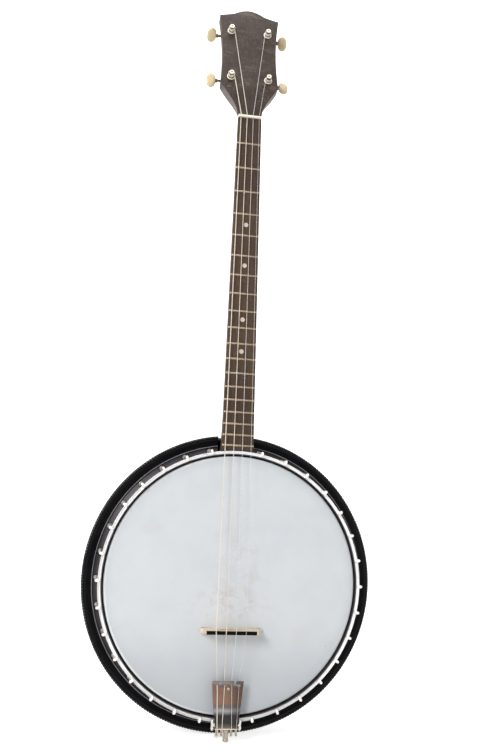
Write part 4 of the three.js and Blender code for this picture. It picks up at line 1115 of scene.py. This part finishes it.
def makeNeck(n, h):
    stations = [-0.18, -0.09, 0, 0.07, 0.14, 0.22, 0.3, 0.4, 0.5, 0.62, 0.75, 0.88, 1.0]
    rings = [
        neckRing(s * n["heel"], n["top"], neckBack(s * n["heel"]), boardHalf(max(s, 0) * n["heel"]))
        for s in stations
    ]
    length = board["length"] + peg["nut"] + 2 * peg["gap"]
    for place in (120, 220, 320, 370, length - 10, length):
        rings.append(neckRing(place, n["top"], neckBack(place), boardHalf(min(place, board["length"]))))
    for beyond, drop, thin in ((2, 0.2, 0.0), (5, 0.55, 0.15), (8, 1.0, 0.6), (12, 1.8, 1.7)):
        rings.append(
            neckRing(
                length + beyond, n["top"] + drop, n["nutDepth"] - thin + beyond * 0.06,
                n["nut"] / 2 - beyond * 0.12,
            )
        )
    shaft = Shape().add(skin(rings))
    toNeck = neckFrame.inverted() @ pegFrame
    plank = prism(pegOutline(h), 0, peg["thickness"], h["bevel"], 4)
    for corner in plank.data.vertices:
        point = corner.co
        share = max(0.0, 1 - point.z / h["carved"]) * point.y / peg["thickness"]
        point.x -= h["carve"] * share * (1 if point.x > 0 else -1) * (abs(point.x) > 4)
    shaft.add(plank, move=toNeck)
    fromPot = neckFrame.inverted() @ potFrame
    tools = [
        Shape().add(pin(146.4, -60, 14.3, sides=256), move=fromPot),
        Shape().add(pin(140.0, -60, 110, sides=256), move=fromPot),
    ]
    holes = Shape()
    for side in (-1, 1):
        for z in h["posts"]:
            holes.add(pin(4.6, -4, peg["thickness"] + 4, side * h["spread"] / 2, z, 32), move=toNeck)
    build(
        "neck_and_peghead", shaft, neckFrame, [finishes["neck"]], ["neck"],
        tools=[*tools, holes], angle=30,
    )


makeNeck(neck, head)
print("neck made")

frets = {"count": 19, "width": 2.2, "height": 1.0, "dots": (5, 7, 10, 12), "dot": 2.7}


def fretPlace(number):
    return board["length"] - board["scale"] * (1 - 2 ** (-number / 12))


def makeBoard(f):
    shape = Shape()
    half, end = neck["end"] / 2, neck["nut"] / 2
    outline = rounded(
        [(-half, 0.0), (half, 0.0), (end, board["length"]), (-end, board["length"])], [1.2, 1.2, 0.2, 0.2], 3,
    )
    shape.add(prism(outline, 0, 5, 0.35, 3))
    for number in range(1, f["count"] + 1):
        place = fretPlace(number)
        wide = boardHalf(place)
        rings = []
        for share, lift in ((-1, 0.25), (-0.985, 0.75), (-0.96, 1.0), (0.96, 1.0), (0.985, 0.75), (1, 0.25)):
            thick = f["width"] / 2
            ring = [(0.7, -thick), (0.7, thick)]
            ring += [
                (-f["height"] * lift * sin(turn), thick * cos(turn)) for turn in (pi * k / 8 for k in range(9))
            ]
            rings.append([Vector((share * wide, depth, place + z)) for depth, z in ring])
        shape.add(skin(rings), 1)
    for number in f["dots"]:
        place = (fretPlace(number) + fretPlace(number - 1)) / 2
        shape.add(pin(f["dot"], -0.04, 1.0, 0, place, 40), 2)
    build(
        "fingerboard_with_frets", shape, neckFrame, [finishes["board"], finishes["fret"], finishes["dot"]],
        ["fingerboard"], angle=30,
    )


def makeNut():
    width, thickness = neck["nut"] / 2, peg["nut"]
    profile = rounded(
        [(0, 5.0), (thickness, 5.0), (thickness, -1.3), (thickness * 0.5, -2.1), (0, -2.1)],
        [0.3, 0.3, 0.9, 0.9, 0.4], 4,
    )
    rings = []
    for share, small in ((-1, 0.92), (-0.985, 1.0), (0.985, 1.0), (1, 0.92)):
        rings.append(
            [
                Vector(
                    (
                        share * width, point.y * small + (0.2 if small < 1 else 0),
                        point.x * small + (0.12 if small < 1 else 0) + board["length"] + 0.3,
                    )
                )
                for point in profile
            ]
        )
    slots = [
        Shape().add(block(gauge + 0.5, 3, 14, nutPlace(i), -1.15 - 1.5, board["length"] + 2))
        for i, gauge in enumerate(strings["gauges"])
    ]
    build(
        "nut_slotted", Shape().add(skin(rings)), neckFrame, [finishes["bone"]], ["string_nut"],
        tools=slots, angle=30,
    )


strings = {
    "gauges": (1.0, 0.76, 0.5, 0.33), "nut": 7.5, "bridge": 11.0, "tray": 7.9, "height": 1.4,
    "turns": (2.5, 3, 4, 4),
}


def nutPlace(i):
    return (i - 1.5) * strings["nut"]


makeBoard(frets)
makeNut()
print("fingerboard and nut made")

tuner = {
    "places": [(-23.5, 58.5), (-23.5, 133.0), (23.5, 133.0), (23.5, 58.5)], "turns": (12, 74, 20, -6),
    "post": 3.0, "postTop": -8.8, "hole": 0.9, "holeDepth": -6.3, "washer": 5.1, "washerTop": -1.2, "bore": 3.3,
    "sleeve": 4.3,
    "plate": (13.3, 14.5), "plateHalf": 8.0, "below": 11.0, "above": 16.16, "gear": 18.9, "teeth": 14,
    "module": 0.78,
    "gearHalf": 1.8, "worm": 8.36, "wormPitchRadius": 2.9, "wormLength": 12.0, "turnsOfThread": 3, "shaft": 1.5,
    "ear": 1.4,
    "earTop": 22.1, "button": 23.3, "buttonLength": 12.2, "buttonHeight": 20.0, "buttonThickness": 6.6,
    "collar": 2.6,
}


def tunerPlace(x, z):
    # The tuners left of the middle are mirrored
    return pegFrame @ Matrix.Translation((x, 0, z)) @ (mirrorX if x < 0 else Matrix.Identity(4))


def makePlate(t, i, x, z):
    name, node, place = f"tuner_{i + 1}_base", [f"tuner_{i + 1}_plate"], tunerPlace(x, z)
    if i:
        return again("tuner_1_base", name, place, node, angle=32)
    front, back = t["plate"]
    half, gap = t["plateHalf"], 0.3
    outline = rounded(
        [(-half, -t["below"]), (half, -t["below"]), (half, t["above"]), (-half, t["above"])], 2.4, 6,
    )
    shape = Shape().add(prism(outline, front, back, 0.3))
    washer, below, end = t["washerTop"], -gap - 0.2, front + 0.6
    sleeve = [(t["bore"], below), (t["sleeve"], below), (t["sleeve"], end), (t["bore"], end)]
    ring = rounded([
        (t["sleeve"] - 0.3, washer), (t["washer"] - 0.9, washer), (t["washer"] - 0.25, washer + 0.1),
        (t["washer"], washer + 0.4),
        (t["washer"], -gap), (t["sleeve"] - 0.3, -gap),
    ], [0.1, 0.2, 0.2, 0.2, 0.1, 0], 3)
    # The sleeve takes the dark steel as painted shade between the post and the washer.
    shape.add(lathe(sleeve, 48), 1).add(lathe([(q.x, q.y) for q in ring], 48), 2)
    for side in (-1, 1):
        inner = side * (t["wormLength"] / 2 + gap)
        outer = inner + side * t["ear"]
        ear = rounded(
            [
                (t["worm"] - 3.8, front + 0.5), (t["worm"] + 3.8, front + 0.5), (t["worm"] + 3.8, t["earTop"]),
                (t["worm"] - 3.8, t["earTop"]),
            ],
            [0.1, 0.1, 2.6, 2.6], 6,
        )
        shape.add(prism(ear, min(inner, outer), max(inner, outer), 0.2), move=alongX)
        for high in (-t["below"] + 2.6, t["above"] - 2.3):
            dome = [(0, back + 0.9), (0.9, back + 0.75), (1.55, back + 0.3), (1.6, back - 0.2), (0, back - 0.2)]
            spot = Matrix.Translation((side * 5.3, 0, high))
            shape.add(lathe(dome, 20), move=spot)
    slots = Shape()
    for side in (-1, 1):
        for k, high in enumerate((-t["below"] + 2.6, t["above"] - 2.3)):
            spot = Matrix.Translation((side * 5.3, 0, high)) @ Matrix.Rotation(0.6 * side + k, 4, "Y")
            slots.add(block(0.45, 0.9, 4, 0, back + 0.95, 0), move=spot)
    bore = Shape().add(pin(t["bore"], front - 2, back + 2, sides=32))
    journal = Shape().add(prism(disc(t["worm"], t["gear"], t["shaft"] + 0.3, 24), -20, 20), move=alongX)
    looks = [finishes["tuner"], finishes["dark_steel_and_shade"], finishes["washer"]]
    build(name, shape, place, looks, node, tools=[bore, journal, slots], angle=32)


def makePost(t, i, x, z):
    name, node, place = f"tuner_{i + 1}_shaft", [f"tuner_{i + 1}_post"], tunerPlace(x, z)
    if i:
        return again("tuner_1_shaft", name, place, node, body=node[0], angle=32)
    pitchRadius = t["teeth"] * t["module"] / 2
    outer, root = pitchRadius + t["module"] * 0.8, pitchRadius - t["module"] * 1.15
    step = 2 * pi / t["teeth"]
    outline = []
    for k in range(t["teeth"]):
        centre = pi / 2 + (k + 0.5) * step
        for radius, angle in (
            (root, -0.36 * step), (outer, -0.11 * step), (outer, 0.11 * step), (root, 0.36 * step),
        ):
            outline.append((radius * cos(centre + angle), radius * sin(centre + angle)))
    outline = rounded(outline, 0.16, 2)
    slope = pi * t["module"] / (2 * pi * t["wormPitchRadius"])
    rings = []
    for depth, small in ((-1, 0.12), (-0.9, 0), (-0.4, 0), (0.4, 0), (0.9, 0), (1, 0.12)):
        shift = depth * t["gearHalf"]
        turn = -slope * shift / pitchRadius
        ring = inset(outline, small) if small else outline
        rings.append(
            [
                Vector(
                    (p.x * cos(turn) - p.y * sin(turn), t["gear"] + shift, p.x * sin(turn) + p.y * cos(turn))
                )
                for p in ring
            ]
        )
    shape = Shape().add(skin(rings), 1)
    top, radius = t["postTop"], t["post"]
    profile = rounded([
        (0, top + 2.6), (1.15, top + 2.5), (1.35, top + 0.3), (1.6, top), (radius - 0.5, top),
        (radius, top + 0.5), (radius, top + 1.3),
        (radius - 0.25, top + 1.9), (radius - 0.25, -3.2), (radius, -2.9), (radius, t["gear"]),
        (2.6, t["gear"]),
        (2.6, t["gear"] + t["gearHalf"] + 0.9), (2.0, t["gear"] + t["gearHalf"] + 1.4),
        (0, t["gear"] + t["gearHalf"] + 1.4),
    ], [0.1, 0.2, 0.2, 0.2, 0.3, 0.3, 0.3, 0.3, 0.2, 0.2, 0, 0, 0.3, 0.3, 0], 3)
    shape.add(lathe([(q.x, q.y) for q in profile], 48))
    # A dark sleeve over the post's side is painted shade.
    shape.add(
        lathe(
            [
                (radius - 0.4, top + 2.0), (radius - 0.22, top + 2.0), (radius - 0.22, -3.3),
                (radius - 0.4, -3.3),
            ],
            48,
        ),
        2,
    )
    hole = Shape().add(prism(disc(0, t["holeDepth"], t["hole"], 20), -5, 5), move=alongX)
    slot = Shape().add(block(0.7, 1.6, 8, 0, t["gear"] + t["gearHalf"] + 1.5, 0))
    looks = [finishes["tuner"], finishes["gear"], finishes["dark_steel_and_shade"]]
    build(name, shape, place, looks, node, body=node[0], tools=[hole, slot], angle=32)


def makeWorm(t):
    core = t["wormPitchRadius"] - t["module"] * 1.1
    crest = t["wormPitchRadius"] + t["module"] * 0.8
    pitch = pi * t["module"]
    reach = t["wormLength"] / 2
    sides, count = 28, 84
    rings = []

    def ring(place, radius):
        rings.append(
            [
                Vector((place, radius * cos(2 * pi * k / sides), radius * sin(2 * pi * k / sides)))
                for k in range(sides)
            ]
        )

    ring(-reach - 2.0, 0.9)
    ring(-reach - 2.0, t["shaft"] - 0.1)
    ring(-reach, t["shaft"])
    for j in range(count + 1):
        place = -reach + 2 * reach * j / count
        level = []
        for k in range(sides):
            angle = 2 * pi * k / sides
            phase = (place - pitch * (angle + pi / 2) / (2 * pi)) / pitch
            away = abs(phase - round(phase)) * pitch
            rise = min(1, max(0, 1 - (away - 0.1 * pitch) / ((crest - core) * 0.34)))
            fade = min(1, max(0, (pitch * t["turnsOfThread"] / 2 + 0.2 - abs(place)) / 0.5))
            radius = core + (crest - core) * rise * fade
            level.append(Vector((place, radius * cos(angle), radius * sin(angle))))
        rings.append(level)
    ring(reach, t["shaft"])
    start = t["button"] - t["buttonLength"] / 2
    ring(start - 2.4, t["shaft"])
    ring(start - 2.3, t["collar"] - 0.3)
    ring(start - 2.0, t["collar"])
    ring(start - 0.4, t["collar"])
    ring(start + 0.6, t["collar"] - 0.3)
    ring(start + 2.5, 1.5)
    return skin(rings)


def makeKnob(t):
    knob, steps = [], 22
    for j in range(1, steps):
        angle = pi * j / steps
        place = t["button"] - t["buttonLength"] / 2 * cos(angle)
        high = t["buttonHeight"] / 2 * sin(angle) ** 0.78
        thick = t["buttonThickness"] / 2 * sin(angle) ** 0.6 * (1 - 0.12 * sin(angle) ** 4)
        level = []
        for k in range(40):
            spin = 2 * pi * k / 40
            c, s = cos(spin), sin(spin)
            level.append(
                Vector(
                    (
                        place, thick * abs(c) ** 0.9 * (1 if c > 0 else -1),
                        high * abs(s) ** 0.92 * (1 if s > 0 else -1),
                    )
                )
            )
        knob.append(level)
    return skin(knob)


def makeButton(t, i, x, z, worm, knob):
    turn = radians(t["turns"][i])
    shape = Shape().add(copied(worm)).add(copied(knob), 1, Matrix.Rotation(turn, 4, "X"))
    place, node = tunerPlace(x, z) @ Matrix.Translation((0, t["gear"], t["worm"])), f"tuner_{i + 1}_button"
    looks = [finishes["dark_steel_and_shade"], finishes["button"]]
    build(f"tuner_{i + 1}_knob", shape, place, looks, [node], body=node, angle=42)


worm, knob = makeWorm(tuner), makeKnob(tuner)
for i, (x, z) in enumerate(tuner["places"]):
    makePlate(tuner, i, x, z)
    makePost(tuner, i, x, z)
    makeButton(tuner, i, x, z, worm, knob)
for model in (worm, knob):
    bpy.data.objects.remove(model)
print("tuners made")

bridge = {
    "length": 69.4, "top": 57.6, "shift": 1.6, "height": 15.9, "base": 6.5, "crest": 3.2, "foot": 11.0,
    "footHeight": 2.4, "arch": 7.2,
    "floor": 2.7, "notch": 0.5, "slot": 1.8, "travel": 8.6, "saddle": (-27.0, 28.4), "saddleHeight": 1.9,
    "lap": 0.3, "proud": 0.05,
}
bridgePlace = (potFrame.inverted() @ (neckFrame @ Vector((0, 0, board["length"])))).z - 603 * cos(
    board["pitch"]
)


def stringAtBridge(i):
    return (i - 1.5) * strings["bridge"]


def makeBridge(b):
    half, foot, top = b["length"] / 2, b["foot"] / 2, b["top"] / 2
    start = half - b["foot"]
    middle = (start + foot) / 2
    right = [(foot, 0)]
    right += bent((foot, 0), (middle, 2 * b["arch"]), (start, 0), 14)[1:] + [
        (start, 0), (half - 2, 0), (half - 1, 0), (half, 0), (half, b["footHeight"]),
    ]
    right += bent((half, b["footHeight"]), (top, b["height"] * 0.4), (top, b["height"]), 12)[1:] + [
        (top, b["height"])
    ]
    right = [Vector(point) for point in right]
    left = [Vector((-point.x, point.y)) for point in reversed(right)]
    low, high = b["height"] - b["saddleHeight"], b["height"] + b["proud"]
    near, far = b["saddle"]
    first, last = near - b["shift"] + b["lap"], far - b["shift"] - b["lap"]
    rebate = [(last, b["height"]), (last, low + b["lap"]), (first, low + b["lap"]), (first, b["height"])]
    reach = [0.7] * len(right) + [0] * len(rebate) + [0.7] * len(left)
    outline = rounded(right + rebate + left, reach, 3)

    def thick(height, x=0.0):
        share = min(max((height - b["footHeight"]) / (b["height"] - b["footHeight"]), 0), 1)
        end = min(max((abs(x) - half + 3) / 3, 0), 1)
        return (b["base"] + (b["crest"] - b["base"]) * share) / 2 * sqrt(1 - 0.8 * end ** 2)

    rings = []
    for side, amounts in ((-1, (0.45, 0.13, 0)), (1, (0, 0.13, 0.45))):
        for amount in amounts:
            ring = inset(outline, amount) if amount else outline
            edge = {0.45: 0.0, 0.13: 0.13, 0: 0.45}[amount]
            places = [
                (p.x + b["shift"], b["floor"] - p.y, bridgePlace + side * (thick(p.y, p.x) - edge))
                for p in ring
            ]
            rings.append([Vector(place) for place in places])
    shape = Shape().add(skin(rings))
    strip = rounded([(near, low), (far, low), (far, high), (near, high)], 0.25, 2)
    rings = [
        [Vector((p.x, b["floor"] - p.y, bridgePlace + side * (thick(p.y) + 0.14))) for p in strip]
        for side in (-1, 1)
    ]
    shape.add(skin(rings), 1)
    cuts = Shape()
    for i, gauge in enumerate(strings["gauges"]):
        # Each slot is deep and wide enough for its string while the bridge slides towards the tailpiece.
        drift = (i - 1.5) * (strings["tray"] - strings["bridge"]) * b["travel"] / (bridgePlace + tray["front"])
        cuts.add(
            block(
                gauge + 0.24 + abs(drift), 2 * b["slot"], 12, stringAtBridge(i) + drift / 2,
                b["floor"] - b["height"], bridgePlace,
            )
        )
    build(
        "bridge_maple", shape, potFrame, [finishes["maple"], finishes["saddle"]], ["bridge"], body="bridge",
        tools=[cuts], angle=30,
    )


tray = {
    "rise": 6.0, "thick": 1.2, "frontShare": 0.507, "end": 152.2, "taper": 13.4, "frontWidth": 34.4,
    "waistWidth": 27.4, "endWidth": 24.4,
    "band": 3.2, "window": 2.6, "windowWidth": 12.0, "slot": 2.3, "slotSpread": 15.4, "flange": 3.0,
    "fold": 5.5,
    "fingers": (-10.5, -5.2, 5.2, 10.5), "finger": 2.2, "fingerReach": 5.6, "fingerRise": 3.0, "loopGap": 0.35,
    "bar": 1.9, "shank": 1.5, "ear": (14.8, 4.2, 4.6, 12.0), "screwHead": 6.2, "screwLength": 12.4,
    "screwShank": 3.5,
}
tray["front"] = (tray["end"] + bridgePlace) * tray["frontShare"] - bridgePlace
tray["back"] = -tray["rise"] + tray["thick"]
tray["barDepth"] = tray["back"] + 0.3 + tray["bar"]
makeBridge(bridge)
print("bridge made")


def makeTray(t):
    front, waist, end, back = -t["front"], -(t["end"] - t["taper"]), -t["end"], t["back"]
    outline = rounded([
        (-t["frontWidth"] / 2, front), (-t["waistWidth"] / 2, waist), (-t["endWidth"] / 2, end),
        (t["endWidth"] / 2, end),
        (t["waistWidth"] / 2, waist), (t["frontWidth"] / 2, front),
    ], [0.8, 4, 0.8, 0.8, 4, 0.8], 5)
    shape = Shape().add(prism(outline, -t["rise"] + 0.1, back, 0.25))
    for side in (-1, 1):
        wide, narrow = t["frontWidth"] / 2 - 0.08, t["waistWidth"] / 2 + 0.03
        lip = [
            (side * wide, front - 1.2), (side * narrow, waist), (side * (narrow - 1.2), waist),
            (side * (wide - 1.2), front - 1.2),
        ]
        shape.add(prism(rounded(lip, 0.4, 3), -t["rise"] + 0.25, back + t["flange"], 0.25))
    shape.add(
        block(
            t["endWidth"], back + t["fold"] + t["rise"], t["thick"], 0, (back + t["fold"] - t["rise"]) / 2,
            end + t["thick"] / 2, 0.3,
        ),
        1,
    )
    tip = end - t["fingerReach"] + t["thick"] / 2
    for x in t["fingers"]:
        rise = -t["rise"] - t["fingerRise"]
        route = [(end + 1.2, back - 0.6), (tip + 1.2, back - 0.6), (tip, back - 1.8), (tip, rise + 0.2)]
        profile = rounded([(z, y) for z, y in route], [0, 1.6, 1.6, 0], 5, closed=False)
        rings = []
        for k, point in enumerate(profile):
            before, after = profile[max(k - 1, 0)], profile[min(k + 1, len(profile) - 1)]
            way = (after - before).normalized()
            normal = Vector((-way.y, way.x)) * 0.58
            width = t["finger"] / 2 * (0.75 if k == len(profile) - 1 else 1)
            rings.append(
                [
                    Vector((x + a * width, point.y + b * normal.y, point.x + b * normal.x))
                    for a, b in ((-1, -1), (1, -1), (1, 1), (-1, 1))
                ]
            )
        shape.add(skin(rings), 2)
    windowFront = t["front"] + t["band"]
    cuts = Shape()
    for side in (-1, 1):
        x = side * t["slotSpread"] / 2
        window = rounded([
            (x - t["windowWidth"] / 2, -windowFront), (x + t["windowWidth"] / 2, -windowFront),
            (x + t["windowWidth"] / 2, -windowFront - t["window"]),
            (x - t["windowWidth"] / 2, -windowFront - t["window"]),
        ], 0.7, 3)
        cuts.add(prism(window, -t["rise"] - 5, back + 1.2))
    slots = Shape()
    for side in (-1, 1):
        slots.add(
            block(
                t["slot"], 8, t["band"] + 3, side * t["slotSpread"] / 2, -t["rise"],
                -t["front"] - t["band"] / 2 + 1.0,
            )
        )
    screw = Shape().add(
        prism(disc(0, t["barDepth"], t["screwShank"] / 2 + 0.3, 24), end - 4, end + 4), move=alongZ,
    )
    rivet = Matrix.Translation((0.6, -t["rise"], -110.2))
    shape.add(lathe([(0, -0.55), (0.9, -0.45), (1.4, -0.12), (1.5, 0.3), (0, 0.3)], 24), 2, rivet)
    build(
        "tailpiece_tray", shape, potFrame, [finishes["tray"], finishes["fold"], finishes["thumb"]],
        ["tailpiece"], tools=[cuts, slots, screw], angle=30,
    )


def makeTailHanger(t):
    place, depth = -147.9, t["barDepth"]
    x, wide, deep, high = t["ear"]
    shape = Shape().add(prism(disc(place, depth, t["bar"], 32), -x, x, 0.3), move=alongX)
    for side in (-1, 1):
        ear = []
        for j in range(1, 16):
            angle = pi * j / 16
            waist = 1 - 0.28 * max(0.0, cos(2 * (angle - pi / 2))) ** 3
            radius = sin(angle) ** 0.7 * waist
            ear.append(
                [
                    Vector(
                        (
                            side * x + wide / 2 * radius * cos(a), depth + deep / 2 * radius * sin(a),
                            place - high / 2 * cos(angle),
                        )
                    )
                    for a in (2 * pi * k / 24 for k in range(24))
                ]
            )
        shape.add(skin(ear))
    shape.add(pin(t["shank"], depth, 32.2, 0, place, 24, 0.3))
    hexagon = [(3.9 * cos(pi * k / 3), place + 3.9 * sin(pi * k / 3)) for k in range(6)]
    shape.add(prism(hexagon, 25.5, 32.5, 0.5))
    build("tailpiece_t_bar", shape, potFrame, [finishes["wear_and_sheen"]], ["tailpiece_hanger"], angle=40)
    top = -t["end"] - 0.3
    low = top - t["screwLength"]
    head = t["screwHead"] / 2
    profile = rounded([
        (0, low), (head - 0.5, low), (head, low + 0.6), (head, low + 2.2), (head - 0.4, low + 2.6),
        (head - 0.4, low + 3.6),
        (head, low + 4.0), (head, top - 1.0), (head - 0.6, top), (0, top),
    ], 0.25, 3)
    middle = (low + 4.0 + top - 1.0) / 2
    reach = (top - low - 5.6) / 2
    grooves = lambda turn, k: -0.14 * (0.5 + 0.5 * cos(24 * turn)) * (abs(profile[k].y - middle) < reach)
    knurl = lathe([(q.x, q.y) for q in profile], 144, swell=grooves)
    inner = place - t["bar"] - 0.3
    shank = lathe(
        [(q[0], q[1]) for q in [(0, top - 1), (1.75, top - 1), (1.75, inner - 0.3), (1.4, inner), (0, inner)]],
        24,
    )
    turn = Matrix.Translation((0, depth, 0)) @ alongZ
    screw = Shape().add(knurl, move=turn).add(shank, move=turn)
    slot = Shape().add(block(12, 2.2, 0.8, 0, low, 0), move=turn)
    build(
        "tailpiece_thumb_screw", screw, potFrame, [finishes["thumb"]], ["tailpiece_screw"],
        tools=[slot],
    )


makeTray(tray)
makeTailHanger(tray)
print("tailpiece made")


def stringRoute(i):
    t, radius, gap = tray, strings["gauges"][i] / 2, 0.3
    finger = t["fingers"][i]
    tip = -t["end"] - t["fingerReach"] + t["thick"] / 2
    reach = t["finger"] / 2 + t["loopGap"] + radius + gap
    level = -t["rise"] - gap - radius
    loop = []
    for k in range(19):
        turn = 2 * pi * (0.375 + 0.675 * k / 18)
        loop.append(Vector((finger + reach * cos(turn), level, tip + reach * sin(turn))))
    x = (i - 1.5) * strings["tray"]
    windowFront = t["front"] + t["band"]
    under = t["back"] + gap + radius
    bends = [
        Vector((finger + reach * 0.2, level, -t["end"] + t["thick"])),
        Vector((x, level, -windowFront - t["window"] + radius)),
        Vector((x, under, -windowFront - radius)),
        Vector((x, under, -t["front"])),
        Vector(
            (
                stringAtBridge(i), bridge["floor"] - bridge["height"] + bridge["notch"] - gap - radius,
                bridgePlace,
            )
        ),
    ]
    toPot = potFrame.inverted() @ neckFrame
    atNut = -strings["height"] - radius
    ends = [toPot @ Vector((nutPlace(i), atNut, board["length"] + 0.3 + place)) for place in (0, peg["nut"])]
    postX, postZ = tuner["places"][i]
    coil = tuner["post"] + gap + radius
    start = 2.4 + 0.9 + radius
    here = (pegFrame.inverted() @ potFrame) @ ends[-1]
    toPost = atan2(postZ - here.z, postX - here.x)
    distance = hypot(postZ - here.z, postX - here.x)
    way = 1 if postX < 0 else -1
    first = toPost + pi + way * acos(coil / distance)
    climb = strings["gauges"][i] + 0.12
    toPotFromPeg = potFrame.inverted() @ pegFrame
    rows, steps = [], 28
    for k in range(int(strings["turns"][i] * steps) + 1):
        turn = first + way * 2 * pi * k / steps
        depth = -(start + climb * k / steps)
        rows.append(toPotFromPeg @ Vector((postX + coil * cos(turn), depth, postZ + coil * sin(turn))))
    route = rounded(
        loop[-1:] + bends + ends + rows[:1], [0, 1.2, 1.0, 1.0, 1.0, 1.5, 0.8, 0.8, 0], 5, closed=False,
    )
    return radius, loop[:-1] + route[:-1] + rows


def makeStrings():
    for i in range(4):
        radius, route = stringRoute(i)
        look = finishes["bronze" if i < 2 else "steel"]
        build(
            f"string_{i + 1}_wire", Shape().add(tube(route, radius, 12)), potFrame, [look], [f"string_{i + 1}"],
            angle=60,
        )


makeStrings()
print("strings made")

# Stage and light
def makeStage():
    look = Surface("backdrop")
    cloud = look.noise(900, 2, 0.5)
    look.colour(look.mix((0.9, 0.9, 0.9), (0.96, 0.96, 0.96), cloud))
    look.roughness(cloud * 0.05 + 0.88)
    look.shader.inputs["Emission Strength"].default_value = 0.78
    look.feed("Emission Color", look.mix((0, 0, 0), white, seenRays(look.tree)))
    low, half, bend = cadBox[0][2] - 0.0015, 6, 0.9
    bpy.ops.object.select_all(action="DESELECT")
    bpy.ops.mesh.primitive_plane_add(size=1, calc_uvs=False)
    sweep = settle(
        bpy.context.object, Matrix.Translation((0, -0.3, low)) @ Matrix.Diagonal((2 * half, 2.4, 1, 1)),
    )
    pick(sweep)
    bpy.ops.object.mode_set(mode="EDIT")
    bpy.ops.mesh.select_all(action="DESELECT")
    mesh = bmesh.from_edit_mesh(sweep.data)
    for edge in mesh.edges:
        edge.select_set(all(corner.co.y > 0.8 for corner in edge.verts))
    turns = [pi / 2 * k / 16 for k in range(17)]
    steps = [(0, bend * (sin(b) - sin(a)), bend * (cos(a) - cos(b))) for a, b in zip(turns, turns[1:])]
    for step in [*steps, (0, 0, 4.1)]:
        bpy.ops.mesh.extrude_region_move(TRANSFORM_OT_translate={"value": step})
    bpy.ops.object.mode_set(mode="OBJECT")
    bpy.ops.object.shade_smooth()
    sweep.name = "backdrop"
    sweep.data.materials.append(look.material)


def makeLight(name, place, aim, size, power, colour=white):
    data = bpy.data.lights.new(name, "AREA")
    data.shape = "RECTANGLE"
    data.size, data.size_y = size
    data.energy = power
    data.color = colour
    lamp = bpy.data.objects.new(name, data)
    lamp.location = place
    lamp.rotation_euler = (Vector(aim) - Vector(place)).to_track_quat("-Z", "Y").to_euler()
    bpy.context.collection.objects.link(lamp)


makeStage()
middle = (0, 0, -0.4)
makeLight("softbox_left", (-1.5, -1.5, 0.6), middle, (0.7, 1.0), 35.5)
makeLight("softbox_right", (1.8, -1.3, 0.1), middle, (0.9, 1.5), 9)
makeLight("softbox_top", (-0.2, -0.5, 1.7), middle, (1.3, 1.0), 19)
makeLight("backdrop_wash", (0, 0.7, 1.8), (0, 1.7, -0.5), (3.0, 0.6), 40)
world = bpy.data.worlds.new("studio")
world.use_nodes = True
sky = world.node_tree.nodes["Background"]
sky.inputs["Color"].default_value = (1, 1, 1, 1)
world.node_tree.links.new((seenRays(world.node_tree) * 0.92 + 0.08).socket, sky.inputs["Strength"])
bpy.context.scene.world = world
bpy.context.scene.view_settings.view_transform = "Standard"
print("stage and light made")
